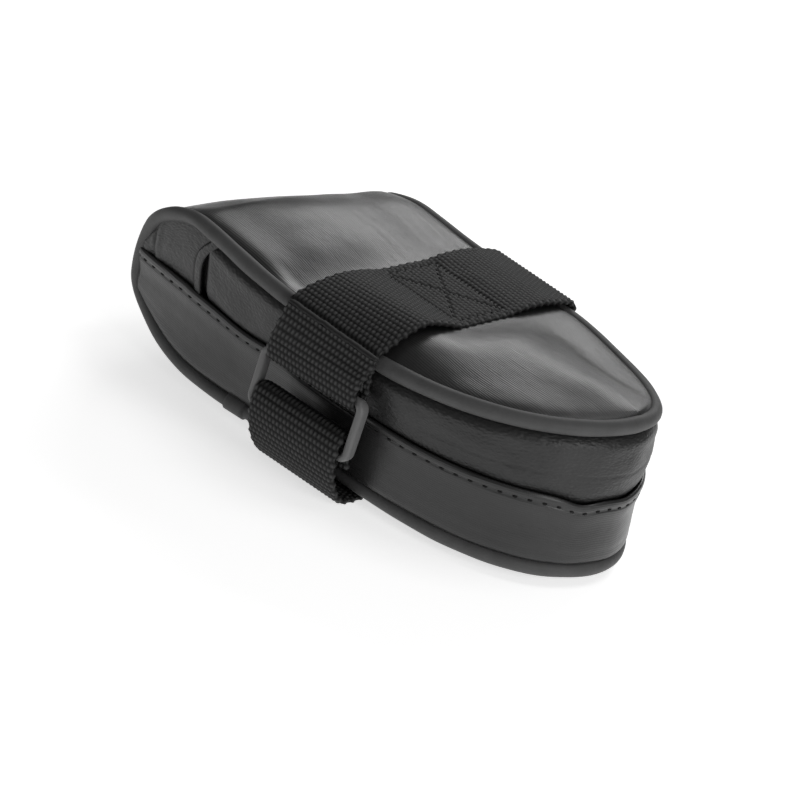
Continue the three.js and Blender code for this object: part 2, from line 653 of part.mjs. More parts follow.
/** From the underside up the buckle side, over the ring's lower bar and back down behind it. */
const nearLowerRun = smoothRun([
  point(37, BOTTOM_RUN_HEIGHT), point(41.5, BOTTOM_RUN_HEIGHT + 0.2), point(48.4, 2.6), point(54, 8),
  point(58.4, 14.5), point(60.7, 20.3), point(60.8, 24.2), point(59, 27.4), point(56.3, 27.2),
  point(55.1, 24), point(54.9, 20), point(54.2, 15.5),
], 24);

/** The webbing's route in the bag's cross section at one place along it. */
function strapRoute(x) {
  const fitTop = (p) => {
    const weight = THREE.MathUtils.smoothstep(p.y, 46, 53);
    const out = p.x + weight * (planHalfWidth(TOP_PLAN, x) - TOP_PLAN.halfWidth) * (p.x / TOP_PLAN.halfWidth);
    return point(out, p.y + weight * (topHeight(x) - HEIGHT.middle));
  };
  const near = (p) => point(-p.x, p.y);
  return [
    ...nearUpperRun.map(fitTop).map(near),
    ...farRun.map(fitTop),
    ...nearLowerRun.map(near),
  ];
}

/** Webbing along matching routes at the strap's rear and front edges. */
function webbingBand(routeAt, thickness, trim = 0) {
  const edges = [-1, 1].map((side) => STRAP_MIDDLE_X + side * (STRAP_WIDTH / 2 - trim));
  const skins = edges.map((x) => {
    const route = routeAt(x);
    return route.map((p, i) => {
      const along = (route[i + 1] ?? p).clone().sub(route[i - 1] ?? p).normalize();
      const out = point(along.y, -along.x).multiplyScalar(-1);
      const at = (distance) => vec(x, p.x + out.x * distance, p.y + out.y * distance);
      return [at(thickness / 2), at(-thickness / 2)];
    });
  });
  const [rear, front] = skins;
  return loft(rear.map(([outer, inner], i) => [outer, front[i][0], front[i][1], inner]));
}

const TAIL_OUT = RING_TOP_BAR.x + RING_WRAP_RADIUS;

/** The strap's free end, from the ring's upper bar up to the bag's top edge. */
const tailRoute = () => [
  point(-TAIL_OUT, TAIL_FOOT), point(-TAIL_OUT - 0.4, 45),
  point(-TAIL_OUT - 0.5, 50.5), point(-TAIL_OUT + 0.2, 57),
];

const PATCH = { thickness: 0.8, inset: 1.5, low: 43, high: 49 };
const patchRoute = (lowerOut, upperOut) => () => [point(-lowerOut, PATCH.low), point(-upperOut, PATCH.high)];

/** Rectangular ring, tilted with the wall, that joins the two ends of the strap. */
function ringGeometry() {
  const roundedRect = (shape, halfWidth, halfHeight, radius) => {
    shape.absarc(halfWidth - radius, halfHeight - radius, radius, 0, Math.PI / 2);
    shape.absarc(radius - halfWidth, halfHeight - radius, radius, Math.PI / 2, Math.PI);
    shape.absarc(radius - halfWidth, radius - halfHeight, radius, Math.PI, 1.5 * Math.PI);
    shape.absarc(halfWidth - radius, radius - halfHeight, radius, 1.5 * Math.PI, 2 * Math.PI);
    shape.closePath();
    return shape;
  };
  const { bevel } = RING;
  const halfWidth = RING.innerWidth / 2 + RING.bar;
  const halfHeight = RING.height / 2;
  const shape = roundedRect(new THREE.Shape(), halfWidth - bevel, halfHeight - bevel, RING.corner);
  const window = roundedRect(
    new THREE.Path(), RING.innerWidth / 2 + bevel, halfHeight - RING.bar + bevel, RING.innerCorner,
  );
  shape.holes.push(window);
  const geometry = new THREE.ExtrudeGeometry(shape, {
    depth: RING.bar - 2 * bevel, bevelThickness: bevel, bevelSize: bevel, bevelSegments: 1, curveSegments: 3,
  });
  geometry.translate(0, 0, bevel - RING.bar / 2);
  const up = vec(0, RING_LOWER_BAR.x - RING_TOP_BAR.x, RING_TOP_BAR.y - RING_LOWER_BAR.y).normalize();
  const middle = RING_TOP_BAR.clone().add(RING_LOWER_BAR).multiplyScalar(0.5);
  const place = new THREE.Matrix4().makeBasis(vec(1, 0, 0), up, vec(1, 0, 0).cross(up));
  place.setPosition(STRAP_MIDDLE_X, -middle.x, middle.y);
  return geometry.applyMatrix4(place);
}

function addStrap() {
  addPiece('strap_main', webbingBand(strapRoute, STRAP_THICKNESS), webbing());
  addPiece('strap_tail', webbingBand(tailRoute, STRAP_THICKNESS), webbing());
  const patchBand = (route) => webbingBand(route, PATCH.thickness, PATCH.inset);
  addPiece('loop_patch', patchBand(patchRoute(55.7, 56.9)), hookTape());
  addPiece('hook_patch', patchBand(patchRoute(58, 58.25)), hookTape());
  addPiece('ring', ringGeometry(), ringPlastic());
}

addShell();
addBoards();
addPiping();
addZip();
addStrap();
bag.position.x = -STRAP_MIDDLE_X; // the origin is under the strap's middle

export default bag;
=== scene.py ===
"""Saddle bag with a webbing strap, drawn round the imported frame.

Shapes are worked out in millimetres in the bag's own frame, whose origin is under the middle of the
side seams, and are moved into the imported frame, in metres, when their meshes are made.
"""
import math

import bmesh
import bpy
import numpy as np
from mathutils import Matrix, Vector


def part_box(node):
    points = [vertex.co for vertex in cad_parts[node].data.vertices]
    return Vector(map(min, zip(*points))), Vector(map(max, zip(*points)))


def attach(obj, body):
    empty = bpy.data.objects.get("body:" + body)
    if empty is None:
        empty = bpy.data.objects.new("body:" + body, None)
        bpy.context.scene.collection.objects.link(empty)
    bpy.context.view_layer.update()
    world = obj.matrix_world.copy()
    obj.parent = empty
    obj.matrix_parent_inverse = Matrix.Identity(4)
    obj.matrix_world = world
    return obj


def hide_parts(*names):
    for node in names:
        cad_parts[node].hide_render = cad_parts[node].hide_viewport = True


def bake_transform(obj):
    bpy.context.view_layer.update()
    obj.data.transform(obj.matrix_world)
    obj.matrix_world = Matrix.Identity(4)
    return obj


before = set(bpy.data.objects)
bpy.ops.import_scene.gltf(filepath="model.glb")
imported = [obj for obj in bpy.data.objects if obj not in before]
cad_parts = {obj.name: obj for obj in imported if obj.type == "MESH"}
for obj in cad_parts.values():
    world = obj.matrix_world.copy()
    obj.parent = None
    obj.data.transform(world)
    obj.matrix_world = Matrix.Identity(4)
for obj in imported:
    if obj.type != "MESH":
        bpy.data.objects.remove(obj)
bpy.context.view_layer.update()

MM = 0.001


def box_mm(node):
    """A CAD node's lowest and highest corners, in millimetres."""
    return [np.array(corner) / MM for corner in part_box(node)]


# ---------- dimensions: the strap and ring from the frame, the outline as in the CAD ----------
RING_LOW, RING_HIGH = box_mm("ring")
STRAP_LOW, STRAP_HIGH = box_mm("strap_main")
STRAP_WIDTH = STRAP_HIGH[0] - STRAP_LOW[0]
STRAP_MIDDLE_X = 5.5  # in the bag's own frame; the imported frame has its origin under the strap's middle
STRAP_THICKNESS = 2.0
SEAM_BASE = 5.6  # height of the bottom seam's flat part over the ground
REAR_X = -87.6
NOSE_TOP = dict(start=5.9, nose=87.6, half_width=51.5, nose_power=2.3, side_power=1.9)
NOSE_BOTTOM = dict(start=12.5, nose=91.9, half_width=41.9, nose_power=3.25, side_power=1.9)
NOSE_POINTS = 70  # along each seam, from the nose tip to the straight side
REAR_TOP_LENGTH = 28.7  # over which the top seam rounds down to the rear tip
REAR_BOTTOM_LENGTH = 53.5
REAR_TIP_SHARE = 0.41  # the rear tip's height, as a share of the top's
PINCH = dict(start=-29.2, length=58.4, share=0.11)  # how the bag narrows towards its rear
PIPING_RADIUS = 2.6
ZIP_END_X = -60
ZIP_STRAIGHT = (-59, -8)
ZIP_SHARE = (0.42, 0.53)  # zip's height between the seams, at the nose and along the sides
REAR_DIVE = 0.1  # extra slope of the zip line behind the zip's end
FLAP_RISE = 3.6  # the flap's folded edge over the zip line
HEM_X = {-1: -54.5, 1: -61.5}  # an end patch's front hem, on the buckle side and on the slider's side
SLIDER_RUN = (-60, -12)  # the far side's part of the zip that the slider travels
SEAM_MARGIN = 0.9  # how far short of its seam line a side band stops
PANEL_THICKNESS = 1.2
BAND_THICKNESS = 1.1
FLAP_THICKNESS = 0.55  # one layer of the lower band's folded cloth
FLOAT_PITCH = 1.64  # of the webbing's floats across it, and of its rows along it
ROW_PITCH = 2.1


# ---------- small mathematics ----------
def lerp(a, b, share):
    return a + (b - a) * share


def smoothstep(low, high, value):
    share = np.clip((value - low) / (high - low), 0, 1)
    return share * share * (3 - 2 * share)


def bump(value, centre, width):
    return np.exp(-(((value - centre) / width) ** 2))


def unit(vectors):
    return vectors / np.linalg.norm(vectors, axis=-1, keepdims=True)


def mirrored(points):
    return points * np.array([1, -1, 1])


def along_path(points):
    """Distance along a path at each of its points."""
    steps = np.linalg.norm(np.diff(points, axis=0), axis=1)
    return np.concatenate([[0], np.cumsum(steps)])


def sample_path(distance, values, at):
    return np.stack([np.interp(at, distance, column) for column in values.T], axis=-1)


def cubic(points, tangents, knots, i, share):
    """Hermite curve between points i and i + 1, at a share of the way."""
    span = knots[i + 1] - knots[i]
    return (
        (2 * share**3 - 3 * share**2 + 1) * points[i] + (share**3 - 2 * share**2 + share) * span * tangents[i]
        + (3 * share**2 - 2 * share**3) * points[i + 1] + (share**3 - share**2) * span * tangents[i + 1]
    )


def smooth_path(points):
    """Cubic curve through points, with tangents that follow their spacing."""
    points = np.asarray(points, float)
    knots = np.concatenate([[0], np.cumsum(np.sqrt(np.linalg.norm(np.diff(points, axis=0), axis=1)))])
    tangents = np.gradient(points, knots, axis=0)
    share = np.linspace(0, 1, 16, endpoint=False)[:, None]
    pieces = [cubic(points, tangents, knots, i, share) for i in range(len(points) - 1)]
    return np.concatenate([*pieces, points[-1:]])


def ripple(u, v, size, seed):
    """Smooth, repeatable unevenness from -1 to 1. size is the wavelength along u and along v."""
    random = np.random.default_rng(seed)
    total = 0
    waves = 7
    for _ in range(waves):
        angle = random.uniform(0, 2 * math.pi)
        phase = random.uniform(0, 2 * math.pi)
        stretch = random.uniform(0.6, 1.5)
        total = total + np.sin(
            2 * math.pi * stretch * (u / size[0] * math.cos(angle) + v / size[1] * math.sin(angle)) + phase
        )
    return total / waves * 1.8


# ---------- outline of the bag ----------
def top_height(x):
    """Height of the top seam over the bottom seam, before it rounds down at the rear."""
    u = x / -REAR_X
    return 47.5 - 7 * u + 8.9 * u * u


REAR_TIP_HEIGHT = REAR_TIP_SHARE * top_height(REAR_X + REAR_TOP_LENGTH)


def rear_round(x, length):
    return np.sqrt(1 - np.clip((REAR_X + length - x) / length, 0, 1) ** 2)


def top_seam_height(x):
    return lerp(REAR_TIP_HEIGHT, top_height(x), rear_round(x, REAR_TOP_LENGTH))


def bottom_seam_height(x):
    return lerp(REAR_TIP_HEIGHT, 0, rear_round(x, REAR_BOTTOM_LENGTH))


def plan_half_width(plan, x):
    into_nose = np.clip((x - plan["start"]) / (plan["nose"] - plan["start"]), 0, 1)
    into_rear = np.clip((PINCH["start"] - x) / PINCH["length"], 0, 1)
    nose = (1 - into_nose ** plan["nose_power"]) ** (1 / plan["side_power"])
    return plan["half_width"] * nose * (1 - PINCH["share"] * into_rear**2)


def half_width_at(x, height):
    share = height / top_height(x)
    return lerp(plan_half_width(NOSE_BOTTOM, x), plan_half_width(NOSE_TOP, x), share)


def seam_point(x, height, half_width):
    return np.stack([x, half_width, SEAM_BASE + height], axis=-1)


def side_seams():
    """Matching points of the +Y side's top and bottom seams, from the nose tip to the rear tip."""
    angle = np.linspace(0, math.pi / 2, NOSE_POINTS, endpoint=False)
    side = np.linspace(0, 1, 60, endpoint=False)
    tip = REAR_X + REAR_TOP_LENGTH * (1 - np.cos(np.linspace(math.pi / 2, 0, 50)))
    seams = []
    for plan, height in ((NOSE_TOP, top_seam_height), (NOSE_BOTTOM, bottom_seam_height)):
        nose_x = lerp(plan["start"], plan["nose"], np.cos(angle) ** (2 / plan["nose_power"]))
        x = np.concatenate([nose_x, lerp(plan["start"], REAR_X + REAR_TOP_LENGTH, side), tip])
        seams.append(seam_point(x, height(x), half_width_at(x, height(x))))
    return seams


TOP_SEAM, BOTTOM_SEAM = side_seams()


# ---------- side wall ----------
class Wall:
    """Frames along the side wall: seams, the zip line, and the directions up the wall and out of it."""

    FIELDS = ("top", "bottom", "zip", "up", "out")

    def __init__(self, **fields):
        self.__dict__.update(fields)

    def mapped(self, change):
        return Wall(**{name: change(getattr(self, name)) for name in self.FIELDS})

    def joined(self, other):
        return Wall(**{
            name: np.concatenate([getattr(self, name), getattr(other, name)]) for name in self.FIELDS
        })

    def resampled(self, spacing):
        distance = along_path(self.zip)
        count = int(distance[-1] / spacing) + 1
        at = np.linspace(0, distance[-1], count)
        wall = self.mapped(lambda field: sample_path(distance, field, at))
        wall.up, wall.out = unit(wall.up), unit(wall.out)
        wall.distance = at
        return wall

    def point(self, rise, out):
        return self.zip + np.asarray(rise)[..., None] * self.up + np.asarray(out)[..., None] * self.out

    def seam_edge(self, seam):
        return seam + unit(self.zip - seam) * SEAM_MARGIN


def far_wall():
    """The +Y side's wall frames, from the nose tip to the zip's end, with the zip straight along the side."""
    kept = TOP_SEAM[:, 0] > ZIP_END_X
    top, bottom = TOP_SEAM[kept], BOTTOM_SEAM[kept]
    middle = (top + bottom) / 2
    along = np.gradient(np.concatenate([mirrored(middle[1:2]), middle]), axis=0)[1:]
    up = unit(top - bottom)
    out = unit(np.cross(along, up))
    into_side = np.clip(np.arange(len(top)) / NOSE_POINTS, 0, 1)
    zip_line = lerp(bottom, top, lerp(*ZIP_SHARE, into_side)[:, None])
    straight = (zip_line[:, 0] > ZIP_STRAIGHT[0]) & (zip_line[:, 0] < ZIP_STRAIGHT[1])
    start, end = zip_line[straight][[0, -1]]
    direction = unit(end - start)
    side_out = out[straight][[0, -1]].sum(axis=0)
    side_out = unit(side_out - direction * side_out.dot(direction))
    share = (zip_line[straight, 0] - start[0]) / (end[0] - start[0])
    zip_line[straight] = lerp(start, end, share[:, None])
    out[straight] = side_out
    up[straight] = np.cross(side_out, direction)
    return Wall(top=top, bottom=bottom, zip=zip_line, up=up, out=out)


def rear_wall(wall, last_x):
    """The wall frames carried on behind the zip's end, on the +Y side."""
    x = np.linspace(ZIP_END_X - 0.5, last_x, 30)
    direction = unit(wall.zip[-1] - wall.zip[-8])
    height = wall.zip[-1][2] + (x - wall.zip[-1][0]) * direction[2] / direction[0] - SEAM_BASE
    height -= REAR_DIVE * (ZIP_END_X - x)
    low, high = bottom_seam_height(x), top_seam_height(x)
    held = np.clip(height, low + 1, high - 1)
    shift = wall.zip[-1][1] - half_width_at(wall.zip[-1][0], wall.zip[-1][2] - SEAM_BASE)
    zip_line = seam_point(x, height, half_width_at(x, held) + shift)
    return Wall(
        top=seam_point(x, high, half_width_at(x, high)),
        bottom=seam_point(x, low, half_width_at(x, low)),
        zip=zip_line,
        up=0 * zip_line + wall.up[-1],
        out=0 * zip_line + wall.out[-1],
    )


def whole_wall(far, spacing):
    """Frames from the buckle side's rear, round the nose, to the far side's rear."""
    near = far.mapped(lambda field: mirrored(field[1:])[::-1])
    return near.joined(far).resampled(spacing)


FAR_WALL = far_wall()
BAND_LAST_X = -85.0
BAND_WALL = whole_wall(FAR_WALL.joined(rear_wall(FAR_WALL, ZIP_END_X - 5)), 1.0)
LONG_WALL = whole_wall(FAR_WALL.joined(rear_wall(FAR_WALL, BAND_LAST_X)), 1.0)


# ---------- meshes ----------
def settled(points):
    """The empty bag's sag: its rear drops, most on the far side, and bags out at the near tip and belly,
    its near side droops behind the strap, and the far side of its nose leans in."""
    points = np.array(points, float)
    x, y, z = points[..., 0], points[..., 1], points[..., 2]
    lowest = lerp(47, lerp(38, 20, smoothstep(-46, -20, y)), smoothstep(-60, -74, x))
    depth = lerp(3.6, 11, smoothstep(-55, 10, y))
    drop = depth * smoothstep(-42, -78, x) * smoothstep(lowest, lowest + 24, z)
    tip = smoothstep(-58, -86, x) * smoothstep(-18, -42, y)
    belly = bump(x, -62, 20) * smoothstep(-20, -38, y) * (1 - smoothstep(8, 24, z))
    side = smoothstep(-8, -36, x) * smoothstep(-30, -42, y) * bump(z, 36, 12)
    nose = smoothstep(24, 60, x) * smoothstep(0, 34, y) * smoothstep(36, 56, z)
    moved_y = -0.8 * belly - 2.0 * nose
    moved_z = -drop - 1.4 * belly - 2.8 * side - 1.5 * nose
    return points + np.stack([-1.8 * tip, moved_y, moved_z], axis=-1)


def to_frame(points):
    """Points of the bag's own frame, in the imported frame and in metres."""
    return (settled(points) - np.array([STRAP_MIDDLE_X, 0, 0])) * MM


def add_object(name, mesh, material, body):
    """Links a mesh as a piece that rides on a body. A blended piece is given no body here."""
    mesh.materials.append(material)
    obj = bpy.data.objects.new(name, mesh)
    bpy.context.scene.collection.objects.link(obj)
    if body:
        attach(obj, body)
    return obj


def grid_mesh(name, grid, uv, closed=(False, False)):
    """Mesh of a grid of points. A closed direction repeats its first row or column at the end."""
    rows, columns = grid.shape[:2]
    kept_rows, kept_columns = rows - closed[0], columns - closed[1]
    row, column = np.meshgrid(np.arange(rows - 1), np.arange(columns - 1), indexing="ij")
    corners = [(row, column), (row + 1, column), (row + 1, column + 1), (row, column + 1)]
    faces = np.stack([(r % kept_rows) * kept_columns + c % kept_columns for r, c in corners], axis=-1)
    vertices = to_frame(grid[:kept_rows, :kept_columns].reshape(-1, 3))
    mesh = bpy.data.meshes.new(name)
    mesh.from_pydata(vertices.tolist(), [], faces.reshape(-1, 4).tolist())
    loops = np.stack([uv[r, c] for r, c in corners], axis=2)
    mesh.uv_layers.new(name="cloth").data.foreach_set("uv", loops.astype(np.float32).ravel())
    mesh.shade_smooth()
    return mesh


def grid_uv(grid):
    """Place on the cloth in millimetres: along the columns, then across the rows."""
    along = along_path(grid[:, grid.shape[1] // 2])
    across = np.linalg.norm(np.diff(grid, axis=1), axis=2)
    across = np.concatenate([np.zeros((len(grid), 1)), np.cumsum(across, axis=1)], axis=1)
    across -= across[:, grid.shape[1] // 2][:, None]
    return np.stack([np.repeat(along[:, None], grid.shape[1], axis=1), across], axis=-1)


def thicken(obj, thickness):
    modifier = obj.modifiers.new("thickness", "SOLIDIFY")
    modifier.thickness = thickness * MM
    modifier.offset = -1.0
    modifier.use_even_offset = False


def add_cloth(name, node, grid, uv, material, thickness):
    """A sheet sewn to the piping, in place of a CAD node. Its cut is its grid laid flat."""
    cloth = add_object(name, grid_mesh(name, grid, uv), material, "bag")
    thicken(cloth, thickness)
    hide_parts(node)


def tube_grid(centre, inward, section_radius, sides):
    """Grid round a path. section_radius gives the radius at each angle, and angle 0 points inward."""
    along = unit(np.gradient(centre, axis=0))
    inward = unit(inward - along * (inward * along).sum(axis=1, keepdims=True))
    side = np.cross(along, inward)
    angle = np.linspace(0, 2 * math.pi, sides + 1)
    radius = section_radius(angle)
    if radius.ndim == 1:
        radius = np.repeat(radius[None], len(centre), axis=0)
    return (
        centre[:, None]
        + (radius * np.cos(angle))[..., None] * inward[:, None]
        + (radius * np.sin(angle))[..., None] * side[:, None]
    )


def closed_tube(name, grid, material):
    """A tube round a closed path, whose last row repeats its first."""
    grid[-1] = grid[0]
    mesh = grid_mesh(name, grid, grid_uv(grid), closed=(True, True))
    return add_object(name, mesh, material, "bag")


def capped_tube(name, grid, material, body):
    mesh = grid_mesh(name, grid, grid_uv(grid), closed=(False, True))
    close_ends(mesh)
    return add_object(name, mesh, material, body)


def close_ends(mesh):
    shape = bmesh.new()
    shape.from_mesh(mesh)
    bmesh.ops.holes_fill(shape, edges=[edge for edge in shape.edges if edge.is_boundary], sides=0)
    bmesh.ops.recalc_face_normals(shape, faces=shape.faces)
    shape.to_mesh(mesh)
    shape.free()
    mesh.shade_smooth()


# ---------- materials ----------
class Nodes:
    """Builds one material's node tree."""

    def __init__(self, name):
        self.material = bpy.data.materials.new(name)
        self.material.use_nodes = True
        self.tree = self.material.node_tree
        self.shader = self.tree.nodes["Principled BSDF"]
        self.uv = self.add("ShaderNodeUVMap", uv_map="cloth").outputs[0]
        self.place = self.add("ShaderNodeTexCoord").outputs["Object"]
        self.height = None

    def add(self, kind, inputs=None, **settings):
        node = self.tree.nodes.new(kind)
        for name, value in settings.items():
            setattr(node, name, value)
        for key, value in (inputs or {}).items():
            self.feed(node.inputs[key], value)
        return node

    def feed(self, socket, value):
        if isinstance(value, bpy.types.NodeSocket):
            self.tree.links.new(value, socket)
        else:
            socket.default_value = value

    def maths(self, operation, a, b=0.0, c=0.0):
        return self.add("ShaderNodeMath", {0: a, 1: b, 2: c}, operation=operation).outputs[0]

    def noise(self, vector, scale, detail=2.0, roughness=0.5):
        inputs = {"Vector": vector, "Scale": scale, "Detail": detail, "Roughness": roughness}
        return self.add("ShaderNodeTexNoise", inputs).outputs[0]

    def stretched(self, vector, scale):
        return self.add("ShaderNodeMapping", {"Vector": vector, "Scale": scale}).outputs[0]

    def ramp(self, factor, stops):
        """Greys from dark to light, at stops along a factor."""
        ramp = self.add("ShaderNodeValToRGB", {0: factor})
        elements = ramp.color_ramp.elements
        for i, (position, level) in enumerate(stops):
            element = elements[i] if i < 2 else elements.new(position)
            element.position = position
            element.color = (level, level, level, 1)
        return ramp.outputs[0]

    def bump(self, height, distance, strength=1.0):
        inputs = {"Height": height, "Distance": distance * MM, "Strength": strength}
        node = self.add("ShaderNodeBump", inputs)
        if self.height is not None:
            self.tree.links.new(self.height, node.inputs["Normal"])
        self.height = node.outputs[0]
        self.tree.links.new(self.height, self.shader.inputs["Normal"])

    def set(self, **sockets):
        for name, value in sockets.items():
            self.feed(self.shader.inputs[name.replace("_", " ")], value)
        return self.material


def coated_fabric():
    """Polyurethane-coated woven fabric: fine lengthwise ribs under a satin coat."""
    n = Nodes("coated_fabric")
    split = n.add("ShaderNodeSeparateXYZ", {0: n.uv}).outputs
    wander = n.noise(n.stretched(n.uv, (0.06, 0.3, 1)), 1.0)
    across = n.maths("ADD", split[1], n.maths("MULTIPLY", wander, 1.4))
    ribs = n.maths("SINE", n.maths("MULTIPLY", across, 2 * math.pi / 0.8))
    cross = n.maths("SINE", n.maths("MULTIPLY", split[0], 2 * math.pi / 0.62))
    n.bump(n.noise(n.uv, 0.09, 3.0), 1.0, 0.25)
    n.bump(n.maths("ADD", ribs, n.maths("MULTIPLY", cross, 0.35)), 0.03, 0.55)
    n.bump(n.noise(n.uv, 2.4, 4.0, 0.6), 0.05, 0.5)
    patches = n.noise(n.uv, 0.05, 4.0, 0.55)
    colour = n.ramp(patches, [(0.3, 0.016), (0.7, 0.024)])
    roughness = n.maths("MULTIPLY_ADD", n.noise(n.uv, 0.3, 4.0, 0.6), 0.12, 0.26)
    return n.set(Base_Color=colour, Roughness=roughness, Specular_IOR_Level=0.5)


def grained_fabric():
    """Leather-like embossed fabric of the upper band and the end patches."""
    n = Nodes("grained_fabric")
    cells = n.add(
        "ShaderNodeTexVoronoi",
        {"Vector": n.stretched(n.uv, (0.8, 1.5, 1)), "Scale": 1.0, "Smoothness": 0.7},
        feature="SMOOTH_F1",
    ).outputs[0]
    n.bump(n.noise(n.uv, 0.16, 3.0), 0.9, 0.35)
    n.bump(n.maths("MULTIPLY", cells, -1.0), 0.22, 0.8)
    n.bump(n.noise(n.uv, 3.0, 3.0), 0.05, 0.5)
    colour = n.ramp(n.noise(n.uv, 0.12, 4.0), [(0.3, 0.010), (0.75, 0.016)])
    roughness = n.maths("MULTIPLY_ADD", n.noise(n.uv, 0.5, 3.0), 0.15, 0.38)
    return n.set(Base_Color=colour, Roughness=roughness, Specular_IOR_Level=0.5)


def piping_fabric():
    """Smooth matte bias tape over the piping, faintly wrinkled across."""
    n = Nodes("piping_fabric")
    n.bump(n.noise(n.stretched(n.uv, (0.9, 0.25, 1)), 1.0, 3.0), 0.16, 0.6)
    n.bump(n.noise(n.uv, 3.5, 4.0, 0.6), 0.04, 0.6)
    colour = n.ramp(n.noise(n.uv, 0.15, 4.0), [(0.3, 0.066), (0.75, 0.084)])
    roughness = n.maths("MULTIPLY_ADD", n.noise(n.uv, 0.6, 3.0), 0.15, 0.5)
    return n.set(Base_Color=colour, Roughness=roughness, Specular_IOR_Level=0.28)


def webbing_yarn():
    """Black polypropylene yarns: fine filaments, and floats lighter than the gaps round them: the crowns are
    lighter with wear, and the gaps are darkened with painted shade.
    """
    n = Nodes("webbing")
    along, across = n.add("ShaderNodeSeparateXYZ", {0: n.uv}).outputs[:2]
    row_place = n.maths("DIVIDE", along, ROW_PITCH)
    row = n.maths("ROUND", row_place)
    shifted = n.maths("ADD", n.maths("DIVIDE", across, FLOAT_PITCH), n.maths("MULTIPLY", row, 0.5))
    across_float = n.maths("SUBTRACT", shifted, n.maths("ROUND", shifted))
    along_float = n.maths("SUBTRACT", row_place, row)
    # painted shade: the colour is darkest in the gaps between the floats, and lightest on their crowns, which
    # are partly lighter with wear
    gap_shade_and_crown_wear = n.maths(
        "MULTIPLY",
        n.maths("COSINE", n.maths("MULTIPLY", across_float, math.pi)),
        n.maths("COSINE", n.maths("MULTIPLY", along_float, math.pi)),
    )
    wear = n.maths("MULTIPLY_ADD", n.noise(n.uv, 0.7, 4.0, 0.6), 0.5, -0.25)
    filaments = n.noise(n.stretched(n.uv, (1.2, 9.0, 1)), 1.0, 3.0, 0.6)
    n.bump(filaments, 0.10, 0.8)
    stops = [(0.1, 0.006), (0.55, 0.023), (1.0, 0.054)]
    colour = n.ramp(n.maths("ADD", gap_shade_and_crown_wear, wear), stops)
    roughness = n.maths("MULTIPLY_ADD", filaments, 0.2, 0.5)
    return n.set(Base_Color=colour, Roughness=roughness, Specular_IOR_Level=0.2)


def sewing_thread():
    n = Nodes("sewing_thread")
    twist = n.add("ShaderNodeTexWave", {"Vector": n.place, "Scale": 900.0, "Distortion": 1.0}).outputs[1]
    n.bump(twist, 0.06, 0.7)
    colour = n.ramp(n.noise(n.place, 300.0), [(0.3, 0.005), (0.7, 0.009)])
    return n.set(Base_Color=colour, Roughness=0.65, Specular_IOR_Level=0.2)


def moulded_plastic(name, level, roughness, speckle=900.0):
    """Moulded plastic with a fine spark-eroded texture."""
    n = Nodes(name)
    n.bump(n.noise(n.place, speckle, 3.0, 0.6), 0.04, 0.7)
    n.bump(n.noise(n.place, 60.0, 2.0), 0.25, 0.25)
    colour = n.ramp(n.noise(n.place, 120.0, 4.0), [(0.3, level * 0.9), (0.7, level * 1.1)])
    gloss = n.maths("MULTIPLY_ADD", n.noise(n.place, 200.0, 3.0), 0.14, roughness - 0.07)
    return n.set(Base_Color=colour, Roughness=gloss, Specular_IOR_Level=0.45)


def zip_tape_weave():
    n = Nodes("zip_tape")
    lines = n.add("ShaderNodeTexWave", {"Vector": n.place, "Scale": 420.0, "Distortion": 0.4}).outputs[1]
    n.bump(lines, 0.08, 0.7)
    colour = n.ramp(n.noise(n.place, 400.0, 3.0), [(0.3, 0.010), (0.7, 0.018)])
    return n.set(Base_Color=colour, Roughness=0.85)


def brushed_metal():
    """Dark plated die-cast metal with handling scratches."""
    n = Nodes("zip_metal")
    scratches = n.noise(n.stretched(n.place, (90, 900, 600)), 1.0, 5.0, 0.65)
    n.bump(scratches, 0.03, 0.6)
    colour = n.ramp(n.noise(n.place, 150.0, 3.0), [(0.3, 0.16), (0.7, 0.24)])
    gloss = n.maths("MULTIPLY_ADD", scratches, 0.25, 0.22)
    return n.set(Base_Color=colour, Roughness=gloss, Metallic=0.9)


def loop_pile():
    """Hook-and-loop tape: dense fuzzy pile."""
    n = Nodes("hook_and_loop")
    n.bump(n.noise(n.place, 1100.0, 4.0, 0.7), 0.3, 1.0)
    colour = n.ramp(n.noise(n.place, 700.0, 4.0), [(0.35, 0.006), (0.7, 0.020)])
    return n.set(Base_Color=colour, Roughness=0.95, Sheen_Weight=0.3)


COATED = coated_fabric()
GRAINED = grained_fabric()
PIPING = piping_fabric()
WEBBING = webbing_yarn()
SEAL = moulded_plastic("melted_webbing", 0.006, 0.75, 700.0)
THREAD = sewing_thread()
RING_PLASTIC = moulded_plastic("ring_plastic", 0.12, 0.5)
BOARD = moulded_plastic("board_plastic", 0.02, 0.6)
NYLON = moulded_plastic("zip_nylon", 0.012, 0.35)
RUBBER = moulded_plastic("pull_rubber", 0.022, 0.6)
TAPE = zip_tape_weave()
METAL = brushed_metal()
PILE = loop_pile()


# ---------- panels ----------
TUCK = 1.2  # how far inside the seam line a panel's edge lies, under the piping
UNDER_SEAM_X = -40  # where the top panel's end meets the bottom panel, under the bag
UNDER_LAP = 3
LIP = 2.2  # how high a panel stands just inside its piping
LIP_WIDTH = 1.5
CROWDING = 0.86  # how much closer together a panel's points lie at its edges, from 0 to 1


def edge_inside(seam):
    along = np.gradient(seam, axis=0)
    inward = np.stack([-np.abs(along[:, 1]), -np.abs(along[:, 0]), 0 * along[:, 0]], axis=-1)
    on_nose = seam[:, 0] > NOSE_BOTTOM["start"]
    inward = np.where(on_nose[:, None], inward, np.array([0, -1.0, 0]))
    return seam + unit(inward) * TUCK


